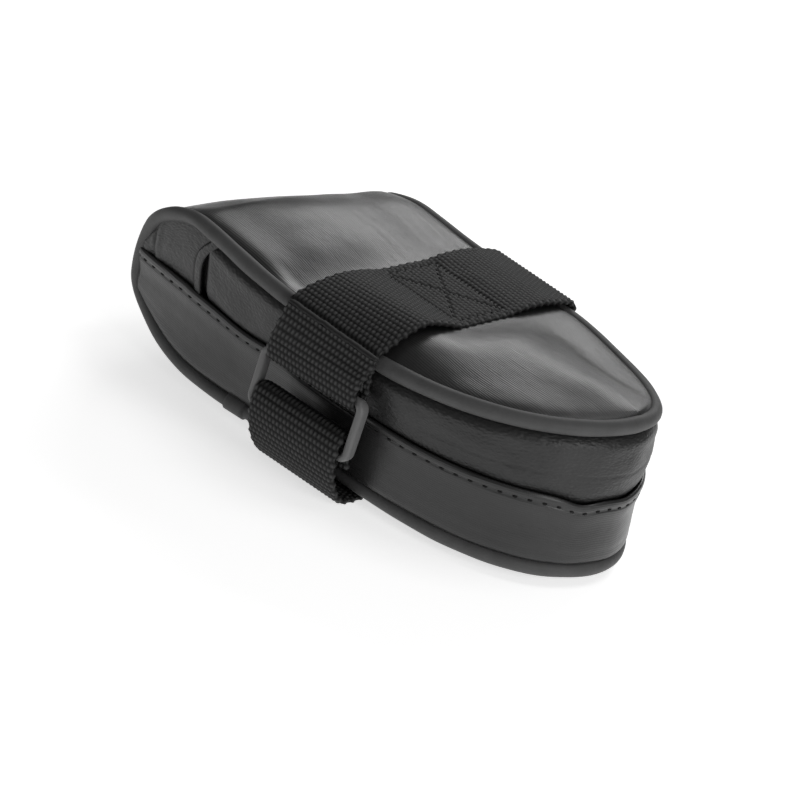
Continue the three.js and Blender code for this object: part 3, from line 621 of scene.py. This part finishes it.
def cross_panel(edge, rise, across, spacing=1.0):
    """Grid from side to side between an edge line and its mirror image, with a rise out of the bag."""
    distance = along_path(edge)
    at = np.linspace(0, distance[-1], int(distance[-1] / spacing) + 1)
    edge = sample_path(distance, edge, at)
    along = np.gradient(edge, axis=0) * np.array([1, 0, 1])
    smooth = 5
    kernel = np.ones(smooth) / smooth
    padded = [np.pad(column, smooth // 2, "edge") for column in along.T]
    along = unit(np.stack([np.convolve(column, kernel, "valid") for column in padded], axis=-1))
    out = np.stack([along[:, 2], 0 * at, -along[:, 0]], axis=-1)
    share = np.sin(np.linspace(-1, 1, across + 1) * math.pi / 2 * CROWDING) / math.sin(math.pi / 2 * CROWDING)
    sideways = edge[:, 1][:, None, None] * share[:, None] * np.array([0, 1, 0])
    grid = edge[:, None] * np.array([1, 0, 1]) + sideways
    return grid + rise(grid, edge, share)[..., None] * out[:, None]


def front_shape(x, y, on_top):
    front = on_top * smoothstep(22, 40, x) * (1 - smoothstep(66, 88, x))
    closer = 1 - 0.9 * smoothstep(24, 84, x)
    ridge = 2.4 * front * bump(y, -2 - 6 * closer, 8 + 12 * closer)
    near_valley = -0.5 * bump(x, 42, 18) * bump(y, -38, 10)
    far_valley = -1.3 * front * bump(y, 15 + 14 * closer, 5 + 6 * closer)
    puffed = 3.3 * bump(x, 24, 15) * bump(y, -34, 14)
    folds = 0.015 * front * ripple(x, y, (60, 26), 3)
    return ridge + near_valley + far_valley + puffed + folds


def rear_shape(x, y, on_top, middle):
    """The swell behind the strap, what the strap pulls down, and faint folds."""
    rear = on_top * (1 - smoothstep(-30, -16, x)) * smoothstep(-86, -70, x)
    swell = rear * (0.9 * bump(y, -4, 16) - 0.8 * bump(y, -36, 9) - 0.6 * bump(y, 27, 9))
    bulge = 1.6 * on_top * bump(x, -60, 15) * middle
    pulled = -2.4 * bump(x, -19, 10) * lerp(0.5, 1, smoothstep(0, -30, y))
    folds = 0.3 * rear * ripple(x, y, (60, 26), 3)
    return swell + bulge + pulled + folds


def top_rise(grid, edge, share):
    """How far the top panel stands out: a lip inside its piping, a crown, and what the strap does to it."""
    half_width = edge[:, 1][:, None]
    x, y = grid[..., 0], grid[..., 1]
    from_edge = (1 - np.abs(share)) * half_width
    middle = 1 - share**2
    on_top = (grid[..., 2] > SEAM_BASE + REAR_TIP_HEIGHT + 8).astype(float)
    lip = LIP * (1 - np.exp(-from_edge / LIP_WIDTH))
    near_side = smoothstep(6, -12, y)
    fall = lerp(1.0, 2.6, near_side) * on_top * np.exp(-from_edge / lerp(4, 8, near_side))
    behind = smoothstep(-30, -58, x)
    gap_shade_and_crown_wear = lerp(3.1, 1.4, behind) * (half_width / NOSE_TOP["half_width"]) ** 1.5 * middle
    pressed = -1.6 * bump(x, 2, 19) * middle
    fade = smoothstep(0, 9, from_edge)
    shaped = front_shape(x, y, on_top) + rear_shape(x, y, on_top, middle) + pressed
    return lip - fall + gap_shade_and_crown_wear + fade * shaped


def bottom_rise(grid, edge, share):
    half_width = edge[:, 1][:, None]
    from_edge = (1 - np.abs(share)) * half_width
    lip = 0.9 * (1 - np.exp(-from_edge / LIP_WIDTH))
    return lip + 1.3 * (half_width / NOSE_BOTTOM["half_width"]) ** 2 * (1 - share**2)


def add_panels():
    under = BOTTOM_SEAM[::-1]
    under = under[under[:, 0] < UNDER_SEAM_X]
    top_edge = edge_inside(np.concatenate([TOP_SEAM[1:], under[1:]]))
    grid = cross_panel(top_edge, top_rise, 110)
    add_cloth("top_panel_skin", "top_panel", grid, grid_uv(grid), COATED, PANEL_THICKNESS)

    ahead = BOTTOM_SEAM[1:][BOTTOM_SEAM[1:, 0] > UNDER_SEAM_X - UNDER_LAP]
    grid = cross_panel(edge_inside(ahead)[::-1], bottom_rise, 90)
    uv = grid_uv(grid)
    add_cloth("bottom_panel_skin", "bottom_panel", grid, uv, COATED, PANEL_THICKNESS)


# ---------- piping ----------
CUFF_RADIUS = PIPING_RADIUS + 0.75
CUFF_HALF_LENGTH = 4.5


def seam_loop(spacing=1.0):
    """The whole piped line, round both sides' top and bottom seams."""
    far = np.concatenate([TOP_SEAM, BOTTOM_SEAM[-2::-1]])
    loop = np.concatenate([far, mirrored(far[1:-1])[::-1], far[:1]])
    distance = along_path(loop)
    at = np.linspace(0, distance[-1], int(distance[-1] / spacing) + 1)
    return sample_path(distance, loop, at), at


def smooth_loop(points, passes=6):
    """Evens out a closed line, whose last point repeats its first."""
    ring = points[:-1]
    for _ in range(passes):
        ring = (np.roll(ring, 1, axis=0) + 2 * ring + np.roll(ring, -1, axis=0)) / 4
    return np.concatenate([ring, ring[:1]])


def piping_inward(centre):
    middle = SEAM_BASE + top_height(0) / 2
    core = [np.clip(centre[:, 0], -45, 40), 0 * centre[:, 1], 0 * centre[:, 2] + middle]
    return np.stack(core, axis=-1) - centre


def add_piping():
    centre, at = seam_loop()
    centre = smooth_loop(centre)
    inward = piping_inward(centre)
    sides = 20

    def radius(angle):
        allowance = 1.7 * np.exp(-(np.minimum(angle, 2 * math.pi - angle) / 0.42) ** 2)
        uneven = 0.09 * ripple(at[:, None], 3 * np.cos(angle)[None], (23, 9), 11)
        uneven[0] = 0  # where the loop closes
        return PIPING_RADIUS + allowance[None] + uneven

    sleeve = closed_tube("piping_sleeve", tube_grid(centre, inward, radius, sides), PIPING)
    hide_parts("piping_cover", "piping_cord")

    join_low, join_high = box_mm("piping_join")
    middle_x = (join_low[0] + join_high[0]) / 2 + STRAP_MIDDLE_X
    near = (centre[:, 1] < 0) & (centre[:, 2] < SEAM_BASE + 5)
    near &= np.abs(centre[:, 0] - middle_x) < CUFF_HALF_LENGTH
    overlap = tube_grid(centre[near], inward[near], lambda angle: 0 * angle + CUFF_RADIUS, sides)
    cuff = capped_tube("piping_overlap", overlap, PIPING, "bag")
    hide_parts("piping_join")


# ---------- side bands ----------
def section_curve(controls, steps):
    """Smooth cross-sections through control rows, one section per wall frame."""
    controls = np.asarray(controls)
    spans = np.linalg.norm(np.diff(controls, axis=0), axis=2).mean(axis=1)
    knots = np.concatenate([[0], np.cumsum(spans)])
    tangents = np.gradient(controls, knots, axis=0)
    rows = []
    for at in np.linspace(0, knots[-1], steps):
        i = min(np.searchsorted(knots, at, side="right") - 1, len(controls) - 2)
        rows.append(cubic(controls, tangents, knots, i, (at - knots[i]) / (knots[i + 1] - knots[i])))
    return np.stack(rows, axis=1)


def slider_clear(wall):
    """1 where the slider travels on the far side, and 0 elsewhere."""
    x = wall.zip[:, 0]
    return np.where(wall.zip[:, 1] > 0, 1 - smoothstep(SLIDER_RUN[1], SLIDER_RUN[1] + 14, x), 0.0)


def notch(wall):
    """Depth of the small dip in the flap's edge at the buckle side of the nose."""
    nose = along_path(wall.zip)[np.argmax(wall.zip[:, 0])]
    return 1.7 * bump(wall.distance, nose - 17, 6)


def add_upper_band():
    wall = BAND_WALL
    clear = slider_clear(wall)
    edge_rise = lerp(2.2, 5.3, clear) - 0.7 * notch(wall)
    close = lerp(1.0, 0.6, clear)[:, None]
    low = wall.point(edge_rise - 0.2, lerp(-0.6, -0.9, clear))
    top = wall.seam_edge(wall.top)
    hem_x = np.where(wall.zip[:, 1] < 0, HEM_X[-1], HEM_X[1])
    under_patch = smoothstep(hem_x + 4, hem_x - 0.5, wall.zip[:, 0])[:, None]

    def inner(share, out):
        return lerp(low, top, share) + (out - 2.2 * under_patch) * wall.out

    controls = [
        inner(0, 0), inner(0.06, close * 1.3), inner(0.13, close * 1.9), inner(0.35, 2.5), inner(0.65, 2.7),
        inner(0.83, 2.3), inner(0.9, 1.0), inner(0.96, -1.2),
    ]
    grid = section_curve(controls, 40)
    uv = grid_uv(grid)
    along, across = uv[..., 0], uv[..., 1]
    nose_share = smoothstep(20, 60, grid[..., 0])
    seam_line = -0.35 * nose_share * bump(across, np.median(across[:, 15]), 0.35)
    fade = np.sin(np.linspace(0, math.pi, grid.shape[1])) ** 0.7
    uneven = fade * (0.4 * ripple(along, across, (34, 17), 21) + 0.16 * ripple(along, across, (11, 14), 22))
    grid = grid + (uneven + seam_line)[..., None] * wall.out[:, None]
    add_cloth("upper_band", "upper_gusset", grid, uv, GRAINED, BAND_THICKNESS)


FLAP_STITCH_DROP = 3.0  # the topstitch below the flap's folded edge
FLAP_STITCH = dict(pitch=4.8, length=1.6, radius=0.42)
BOX_STITCH = dict(pitch=2.6, length=1.9, radius=0.28)


def flap_section(wall):
    """Outline of the lower band from the bottom seam up to the flap's folded edge and down inside it."""
    room = ((wall.top - wall.zip) * wall.up).sum(axis=1) - 1.6
    rise = np.minimum(FLAP_RISE - notch(wall), np.maximum(room, -3))
    low = wall.seam_edge(wall.bottom)
    shoulder = wall.point(rise - 8.5, 1.9)

    def between(share, out):
        return lerp(low, shoulder, share) + out * wall.out

    side = [between(*at) for at in ((0, -1.0), (0.06, 0.3), (0.12, 1.3), (0.4, 1.3), (0.7, 0.55))]
    outer = [wall.point(rise - drop, out) for drop, out in ((4.6, 2.35), (1.6, 2.5), (0.4, 2.35), (0, 1.75))]
    inner = [wall.point(rise - drop, out) for drop, out in ((0.4, 1.15), (1.6, 0.9), (6.0, 0.8))]
    return [*side, shoulder, *outer, *inner], rise


def add_lower_band():
    wall = LONG_WALL
    controls, rise = flap_section(wall)
    grid = section_curve(controls, 96)
    uv = grid_uv(grid)
    below = ((wall.point(rise, 0)[:, None] - grid) * wall.up[:, None]).sum(axis=2)
    outside = ((grid - wall.zip[:, None]) * wall.out[:, None]).sum(axis=2) > 1.4
    outside = outside | (below > 7)
    groove = -0.4 * outside * bump(below, FLAP_STITCH_DROP, 0.5)
    hem = 0.18 * outside * bump(below, 1.5, 0.9)
    body = outside * smoothstep(FLAP_STITCH_DROP, 8, below)
    uneven = body * (0.22 * ripple(uv[..., 0], uv[..., 1], (45, 20), 31))
    grid = grid + (groove + hem + uneven)[..., None] * wall.out[:, None]
    add_cloth("lower_band", "lower_gusset", grid, uv, COATED, FLAP_THICKNESS)
    add_stitches("flap_stitches", wall.point(rise - FLAP_STITCH_DROP, 2.15), FLAP_STITCH)


# ---------- stitches ----------
def stitch_mesh(starts, ends, radius):
    """One small thread loop per stitch, sunk at both ends."""
    rings, sides = 7, 6
    ring, place = np.meshgrid(np.arange(rings - 1), np.arange(sides), indexing="ij")
    a, b = ring * sides + place, ring * sides + (place + 1) % sides
    quads = np.stack([a, b, b + sides, a + sides], axis=-1).reshape(-1, 4).tolist()
    caps = [range(sides)[::-1], range((rings - 1) * sides, rings * sides)]
    share = np.linspace(0, 1, rings)[:, None, None]
    size = radius * np.sqrt(np.maximum(0.06, 1 - (2 * share - 1) ** 4))
    angle = 2 * math.pi * np.arange(sides)[:, None] / sides
    vertices, faces = [], []
    for start, end in zip(starts, ends):
        direction = unit(end - start)
        helper = np.array([0, 0, 1.0]) if abs(direction[2]) < 0.9 else np.array([1.0, 0, 0])
        side = unit(np.cross(direction, helper))
        other = np.cross(direction, side)
        first = len(vertices)
        spokes = np.cos(angle) * side + np.sin(angle) * other
        vertices.extend((lerp(start, end, share) + size * spokes).reshape(-1, 3))
        faces += [tuple(first + corner for corner in face) for face in quads + caps]
    return vertices, faces


def add_stitches(name, line, stitch):
    """Stitches along a line, one at each pitch."""
    distance = along_path(line)
    first = np.arange(stitch["pitch"] / 2, distance[-1] - stitch["length"], stitch["pitch"])
    starts, ends = [sample_path(distance, line, at) for at in (first, first + stitch["length"])]
    vertices, faces = stitch_mesh(starts, ends, stitch["radius"])
    mesh = bpy.data.meshes.new(name)
    mesh.from_pydata(to_frame(vertices).tolist(), [], faces)
    mesh.shade_smooth()
    add_object(name, mesh, THREAD, "bag")


# ---------- rear end patches ----------
def end_patch_grid(side):
    """Cloth that closes the wall behind the zip. side is 1 on +Y and -1 on the buckle side."""
    steps = np.linspace(0, 1, 60)
    up, along = steps[None], steps[:, None]
    hem_x = HEM_X[side] + 8 * smoothstep(0.55, 1.1, up) ** 1.4
    x = lerp(REAR_X + 2.0, hem_x, along)
    low = bottom_seam_height(x) + 1.2
    high = top_seam_height(x) - 1.0
    band = FAR_WALL.zip[-1][2] - SEAM_BASE - 6
    low = np.maximum(low, np.minimum(band, high - 1.5))
    height = lerp(low, high, up)
    out = half_width_at(x, height)
    puff = 1.6 * np.sin(math.pi * up) ** 0.6 * smoothstep(0.1, 0.6, up) - 0.9
    hem = 0.7 * (1 - smoothstep(2.2, 3.6, hem_x - x)) - 0.4 * bump(hem_x - x, 3.6, 0.45)
    crease = -0.5 * bump(x, -78.6, 0.7) + 0.35 * bump(x, -76.8, 1.2)
    wrinkled = 1 - smoothstep(-80.5, -77.5, x)
    wrinkles = 0.5 * wrinkled * ripple(x, height, (5, 9), 41)
    grid = np.stack([x, out + puff + hem + crease + wrinkles, SEAM_BASE + height], axis=-1)
    return grid if side > 0 else mirrored(grid)[:, ::-1]


def add_end_patches():
    for place, side in (("near", -1), ("far", 1)):
        name, node = f"end_patch_{place}", f"gusset_end_{place}"
        grid = end_patch_grid(side)
        add_cloth(name, node, grid, grid_uv(grid), GRAINED, PANEL_THICKNESS)


# ---------- strap: routes are (distance from the bag's middle plane, height) ----------
RING_TOP_BAR = np.array([56.8, 40.4])  # the middles of the ring's two long bars
RING_LOWER_BAR = np.array([58.0, 20.1])
RING_WRAP_RADIUS = 2.9
TOP_PIPING_WRAP = PIPING_RADIUS + 0.3 + STRAP_THICKNESS / 2 + 0.5
BOX_HALF_LENGTH = 13  # of the stitched box, across the bag
BOX_HALF_WIDTH = STRAP_WIDTH / 2 - 3.2
BOX_HEIGHT = 59.2
TOP_CORNER = np.array([NOSE_TOP["half_width"], SEAM_BASE + top_height(0)])
BOTTOM_CORNER = np.array([NOSE_BOTTOM["half_width"], SEAM_BASE])
TAIL_LEAN = 3.0  # how far the tail's free end lies towards the nose
WEAVE_STEP = 0.32  # spacing of the webbing's mesh points
WEAVE_DEPTH = 0.55


def arc_points(centre, radius, degrees):
    angle = np.radians(degrees)
    return list(centre + radius * np.stack([np.cos(angle), np.sin(angle)], axis=-1))


def near_upper_run():
    """From the fold over the ring's upper bar to the middle of the top."""
    return [
        *arc_points(RING_TOP_BAR, RING_WRAP_RADIUS, [-60, -90, -120, -150, -180]),
        (54.1, 43.8), (54.9, 48), (55.8, 51.8),
        *arc_points(TOP_CORNER, TOP_PIPING_WRAP, [10, 50, 85]),
        (45, 59.4), (34, 60.9), (22, 60.4), (BOX_HALF_LENGTH, BOX_HEIGHT), (0, BOX_HEIGHT),
    ]


def far_run():
    """From the middle of the top, down the far side, to the middle of the underside."""
    return [
        (BOX_HALF_LENGTH, BOX_HEIGHT), (22, 60.2), (34, 60.2), (45, 58.8),
        *arc_points(TOP_CORNER, TOP_PIPING_WRAP, [85, 50, 15]),
        (55.6, 49), (54.6, 42), (53, 33.5), (50.4, 22), (48, 12),
        *arc_points(BOTTOM_CORNER, TOP_PIPING_WRAP, [0, -35]),
        (41, 1.5), (37, 1.3), (20, 1.3), (0, 1.3),
    ]


def near_lower_run():
    """From under the bag, up and round the ring's lower bar."""
    return [
        (20, 1.3), (37, 1.3), (45, 1.4), (50.6, 2.5), (55.4, 7.2), (58.8, 13.4), (60.5, 19.2), (60.5, 24.2),
        (58.6, 27.8), (55.8, 27.4), (54.3, 24.3), (53.8, 20), (52.8, 15),
    ]


def fit_top(route, x):
    """Moves the route's upper part with the bag's top edge at one place along the bag."""
    weight = smoothstep(46, 53, route[:, 1])
    wider = plan_half_width(NOSE_TOP, x) - NOSE_TOP["half_width"]
    out = route[:, 0] + weight * wider * route[:, 0] / NOSE_TOP["half_width"]
    return np.stack([out, route[:, 1] + weight * (top_height(x) - top_height(0))], axis=-1)


def strap_edges(route):
    """The webbing's middle surface at its rear and front edges, for a route of (y, z) points."""
    half = STRAP_WIDTH / 2
    rear, front = [
        np.insert(fit_top(route, x), 0, x, axis=1) for x in (STRAP_MIDDLE_X - half, STRAP_MIDDLE_X + half)
    ]
    front[:, 2] += 3.0 * bump(front[:, 1], -34, 13) * smoothstep(50, 56, front[:, 2])
    return rear, front


def weave_height(across, along, twill):
    """Height of the woven surface: staggered oval floats, which twill joins into slanting ribs."""
    row = np.round(along / ROW_PITCH)
    across_float = (across / FLOAT_PITCH + row / 2 + 0.5) % 1 - 0.5
    along_float = along / ROW_PITCH - row
    pillow = np.sqrt(np.cos(math.pi * across_float) * np.cos(math.pi * along_float))
    slant = 0.5 + 0.5 * np.cos(2 * math.pi * across / FLOAT_PITCH + math.pi * along / ROW_PITCH)
    return WEAVE_DEPTH * (lerp(pillow, slant, 0.4 * twill) - 0.6)


def webbing_grids(route, free_end):
    """Outer and inner surface grids of a strap along a route, with its weave. The free end leans towards
    the nose, and only the rest of the strap has slanting ribs, a stitched box and puckers on its top."""
    middle = along_path(fit_top(route, STRAP_MIDDLE_X))
    at = np.arange(0, middle[-1], WEAVE_STEP)
    rear, front = [sample_path(middle, edge, at) for edge in strap_edges(route)]
    share = np.linspace(0, 1, int(STRAP_WIDTH / WEAVE_STEP) + 1)
    surface = lerp(rear[:, None], front[:, None], share[None, :, None])
    along = unit(np.gradient(surface, axis=0))
    out = unit(np.stack([0 * along[..., 0], -along[..., 2], along[..., 1]], axis=-1))
    along_mm, across_mm = at[:, None], (share[None] - 0.5) * STRAP_WIDTH
    edge = np.abs(across_mm) / (STRAP_WIDTH / 2)
    twill = 0 if free_end else smoothstep(40, 52, surface[..., 2])
    weave = weave_height(across_mm, along_mm, twill)
    scallop = 0.38 * np.cos(math.pi * along_mm / ROW_PITCH) * smoothstep(0.955, 1.0, edge)
    surface[..., 0] += scallop * np.sign(across_mm) * 0.9
    if free_end:
        surface[..., 0] += TAIL_LEAN * smoothstep(42, 58, surface[..., 2])
    thin = 1 - 0.45 * smoothstep(0.93, 1.0, edge)
    half = (STRAP_THICKNESS / 2 + weave) * thin
    lift = 0 if free_end else strap_lift(surface, across_mm)
    outer = surface + (half + lift)[..., None] * out
    inner = surface - (half - lift)[..., None] * out
    uv = np.stack(np.broadcast_arrays(along_mm, across_mm), axis=-1)
    return outer, inner, uv


def add_webbing(name, node, route, body, free_end=False):
    """The strap's outer and inner surfaces, joined round the edges as one tube with ends."""
    outer, inner, uv = webbing_grids(route, free_end)
    grid = np.concatenate([outer, inner[:, ::-1], outer[:, :1]], axis=1)
    uv = np.concatenate([uv, uv[:, ::-1], uv[:, :1]], axis=1)
    web = add_object(name, grid_mesh(name, grid, uv, closed=(False, True)), WEBBING, body)
    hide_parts(node)
    return web


def box_lines(across, y):
    """Nearness to the sewn box's stitch lines: its sides, ends and diagonals."""
    inside_y = smoothstep(BOX_HALF_LENGTH + 1, BOX_HALF_LENGTH, np.abs(y))
    inside_x = smoothstep(BOX_HALF_WIDTH + 1, BOX_HALF_WIDTH, np.abs(across))
    slope = BOX_HALF_WIDTH / BOX_HALF_LENGTH
    diagonal_gap = 1 / math.hypot(1, slope)
    lines = bump(np.abs(y), BOX_HALF_LENGTH, 0.75) * inside_x
    lines = np.maximum(lines, bump(np.abs(across), BOX_HALF_WIDTH, 0.75) * inside_y)
    for sign in (-1, 1):
        gap = (across - sign * slope * y) * diagonal_gap
        lines = np.maximum(lines, bump(gap, 0, 0.65) * inside_x * inside_y)
    return lines


def strap_lift(surface, across):
    """Stitch grooves in the sewn box, and slack puckers in the webbing either side of it."""
    on_top = surface[..., 2] > SEAM_BASE + 40
    y = surface[..., 1]
    grooves = -0.4 * box_lines(across, y)
    pucker = 0.25 * bump(np.abs(y), 19, 5) * ripple(across, y, (16, 60), 51)
    return np.where(on_top, grooves + pucker, 0.0)


def on_near_side(route):
    """A route's points, with distances from the middle plane turned to the buckle side's -Y."""
    return [(-out, height) for out, height in route]


def add_strap():
    route = smooth_path([*on_near_side(near_upper_run()), *far_run(), *on_near_side(near_lower_run())])
    add_webbing("strap_web", "strap_main", route, "bag")

    out, height = RING_TOP_BAR[0] + RING_WRAP_RADIUS, RING_TOP_BAR[1]
    tail = [
        *arc_points(RING_TOP_BAR, RING_WRAP_RADIUS, [-60, -30]),
        (out, height + 0.3), (out + 0.4, 45), (out + 0.5, 50.5), (out - 0.2, 57),
    ]
    route = smooth_path(on_near_side(tail))
    web = add_webbing("strap_tail_web", "strap_tail", route, None, free_end=True)
    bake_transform(web)
    add_tail_seal(route)


def add_tail_seal(route):
    """The melted cut end of the strap's tail: a rounded bar across the webbing."""
    end, before = route[-1], route[-12]
    direction = unit(end - before)
    rear, front = [edge[-1] for edge in strap_edges(route)]
    share = np.linspace(0, 1, 90)[:, None]
    uneven = 0.12 * ripple(share[:, 0] * STRAP_WIDTH, 0, (5, 5), 61)
    centre = lerp(rear, front, share) + np.array([0, *direction]) * (0.5 + uneven[:, None])
    centre[:, 0] += TAIL_LEAN
    inward = np.repeat(np.array([[0, *direction]]), len(centre), axis=0)

    def radius(angle):
        flat = np.sqrt((np.cos(angle) / 0.75) ** 2 + (np.sin(angle) / 1.3) ** 2)
        ends = np.sqrt(np.clip(1 - (2 * share - 1) ** 24, 0.05, 1))
        return ends * (1 / flat)[None]

    capped_tube("tail_seal", tube_grid(centre, inward, radius, 14), SEAL, "tail")


def add_box_thread():
    """The box and its crossed diagonals, sewn through both layers of the strap on the bag's top."""
    corners = [(sx * BOX_HALF_WIDTH, sy * BOX_HALF_LENGTH) for sx, sy in ((-1, -1), (1, -1), (1, 1), (-1, 1))]
    path = [*corners, corners[0], corners[2], corners[3], corners[1]]
    rear, front = STRAP_MIDDLE_X - STRAP_WIDTH / 2, STRAP_MIDDLE_X + STRAP_WIDTH / 2
    for i, (start, end) in enumerate(zip(path[:-1], path[1:])):
        x, y = np.linspace(start, end, 40).T
        x = x + STRAP_MIDDLE_X
        share = (x - rear) / STRAP_WIDTH
        z = BOX_HEIGHT + lerp(top_height(rear), top_height(front), share) - top_height(0)
        line = np.stack([x, y, z + STRAP_THICKNESS / 2 - 0.55], axis=-1)
        add_stitches(f"box_stitches_{i + 1}", line, BOX_STITCH)


# ---------- ring ----------
RING_BAR = 2.6
RING_SIDE_DEPTH = 2.3  # half the depth of the ring's two short bars
RING_LENGTH = 21.8  # of the rounded bar's outline, from the upper bar to the lower
RING_CORNER = 2.6
RING_SQUARENESS = 3.2  # 2 is a round bar


def ring_outline(half_x, half_up):
    line = []
    for sx, sy, start in ((1, 1, 0), (-1, 1, 90), (-1, -1, 180), (1, -1, 270)):
        middle = np.array([sx * (half_x - RING_CORNER), sy * (half_up - RING_CORNER)])
        line += arc_points(middle, RING_CORNER, np.linspace(start, start + 90, 9))
    line = np.array([*line, line[0]])
    distance = along_path(line)
    return sample_path(distance, line, np.linspace(0, distance[-1], 181))


def add_ring():
    half_x = (RING_HIGH[0] - RING_LOW[0]) / 2 - RING_BAR / 2 + 0.2
    flat = ring_outline(half_x, (RING_LENGTH - RING_BAR) / 2)
    across = np.array([1.0, 0, 0])
    up = unit(np.array([0, RING_LOWER_BAR[0] - RING_TOP_BAR[0], RING_TOP_BAR[1] - RING_LOWER_BAR[1]]))
    middle = (RING_TOP_BAR + RING_LOWER_BAR) / 2
    centre = np.array([STRAP_MIDDLE_X, -middle[0], middle[1]]) + flat[:, :1] * across + flat[:, 1:] * up
    on_side = smoothstep(half_x - RING_CORNER - 1.5, half_x - 0.5, np.abs(flat[:, :1]))
    depth = lerp(RING_BAR / 2, RING_SIDE_DEPTH, on_side)

    def radius(angle):
        in_plane = np.abs(np.cos(angle)) / (RING_BAR / 2)
        through = np.abs(np.sin(angle)) / depth
        return (in_plane**RING_SQUARENESS + through**RING_SQUARENESS) ** (-1 / RING_SQUARENESS)

    along = np.gradient(np.concatenate([centre[-2:-1], centre, centre[1:2]]), axis=0)[1:-1]
    inward = np.cross(unit(np.cross(across, up)), unit(along))
    ring = closed_tube("ring_bar", tube_grid(centre, inward, radius, 20), RING_PLASTIC)
    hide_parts("ring")


# ---------- carried-over CAD nodes ----------
def finish_cad_nodes():
    finishes = {
        "top_stiffener": BOARD, "bottom_stiffener": BOARD, "zip_tape_upper": TAPE, "zip_tape_lower": TAPE,
        "zip_coil_upper": NYLON, "zip_coil_lower": NYLON, "zip_stop_near": METAL, "zip_stop_far": METAL,
        "zip_slider": METAL, "zip_pull": RUBBER, "loop_patch": PILE, "hook_patch": PILE,
    }
    for name, material in finishes.items():
        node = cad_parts[name]
        node.data.materials.clear()
        node.data.materials.append(material)
    for name in ("zip_slider", "zip_pull", "zip_stop_near", "zip_stop_far"):
        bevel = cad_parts[name].modifiers.new("worn_edges", "BEVEL")
        bevel.width = 0.18 * MM
        bevel.segments = 2
        bevel.limit_method = "ANGLE"


# ---------- studio ----------
FLOOR_GLOW = 0.64  # the white sweep is lit through from below, which keeps its shadows pale
SKY = 0.15  # brightness of the white world
LIT_POINT = Vector((0, 0, 0.03))  # which every lamp faces


def add_floor():
    n = Nodes("studio_floor")
    n.bump(n.noise(n.place, 30.0, 3.0), 0.05, 0.2)
    colour = n.ramp(n.noise(n.place, 6.0, 2.0), [(0.3, 0.86), (0.7, 0.88)])
    n.set(
        Base_Color=colour, Roughness=0.9, Specular_IOR_Level=0.1,
        Emission_Color=(1, 1, 1, 1), Emission_Strength=FLOOR_GLOW,
    )
    mesh = bpy.data.meshes.new("studio_floor")
    half, steps = 3.0, 9
    at = np.linspace(-half, half, steps)
    vertices = [(x, y, 0.0) for x in at for y in at]
    firsts = [i * steps + j for i in range(steps - 1) for j in range(steps - 1)]
    faces = [(first, first + steps, first + steps + 1, first + 1) for first in firsts]
    mesh.from_pydata(vertices, [], faces)
    mesh.materials.append(n.material)
    floor = bpy.data.objects.new("studio_floor", mesh)
    bpy.context.scene.collection.objects.link(floor)


def add_light(name, place, size, power):
    light = bpy.data.lights.new(name, "AREA")
    light.shape = "RECTANGLE"
    light.size, light.size_y = size
    light.energy = power
    obj = bpy.data.objects.new(name, light)
    obj.location = place
    obj.rotation_euler = (LIT_POINT - Vector(place)).to_track_quat("-Z", "Y").to_euler()
    bpy.context.scene.collection.objects.link(obj)


def add_lights():
    add_light("key_light", (-0.42, 1.0, 0.74), (0.8, 0.5), 5.2)
    add_light("top_light", (0.35, 0.3, 1.3), (0.6, 0.6), 3)
    add_light("right_light", (1.0, -0.2, 0.45), (0.5, 0.6), 3.6)
    world = bpy.data.worlds.new("studio")
    world.use_nodes = True
    background = world.node_tree.nodes["Background"]
    background.inputs[0].default_value = (1, 1, 1, 1)
    background.inputs[1].default_value = SKY
    bpy.context.scene.world = world
    bpy.context.scene.view_settings.view_transform = "Standard"


# The photograph's viewing angle, fitted to the seam lines: degrees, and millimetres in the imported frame.
CAMERA = dict(azimuth=32.39, elevation=25.1, roll=17.24, distance=654.1, lens=86.9)
CAMERA_TARGET = (-5.395, 2.137, 15.470)


def add_camera():
    azimuth, elevation, roll = [math.radians(CAMERA[name]) for name in ("azimuth", "elevation", "roll")]
    turn = Matrix.Rotation(azimuth, 4, "Z") @ Matrix.Rotation(math.pi / 2 - elevation, 4, "X")
    turn = turn @ Matrix.Rotation(roll, 4, "Z")
    data = bpy.data.cameras.new("camera")
    data.lens = CAMERA["lens"]
    data.sensor_width = 36
    data.clip_start, data.clip_end = 0.01, 20
    camera = bpy.data.objects.new("camera", data)
    back_off = Matrix.Translation((0, 0, CAMERA["distance"] * MM))
    camera.matrix_world = Matrix.Translation(Vector(CAMERA_TARGET) * MM) @ turn @ back_off
    bpy.context.scene.collection.objects.link(camera)
    bpy.context.scene.camera = camera


add_camera()
add_piping()
add_panels()
add_upper_band()
add_lower_band()
add_end_patches()
add_strap()
add_box_thread()
add_ring()
finish_cad_nodes()
add_floor()
add_lights()
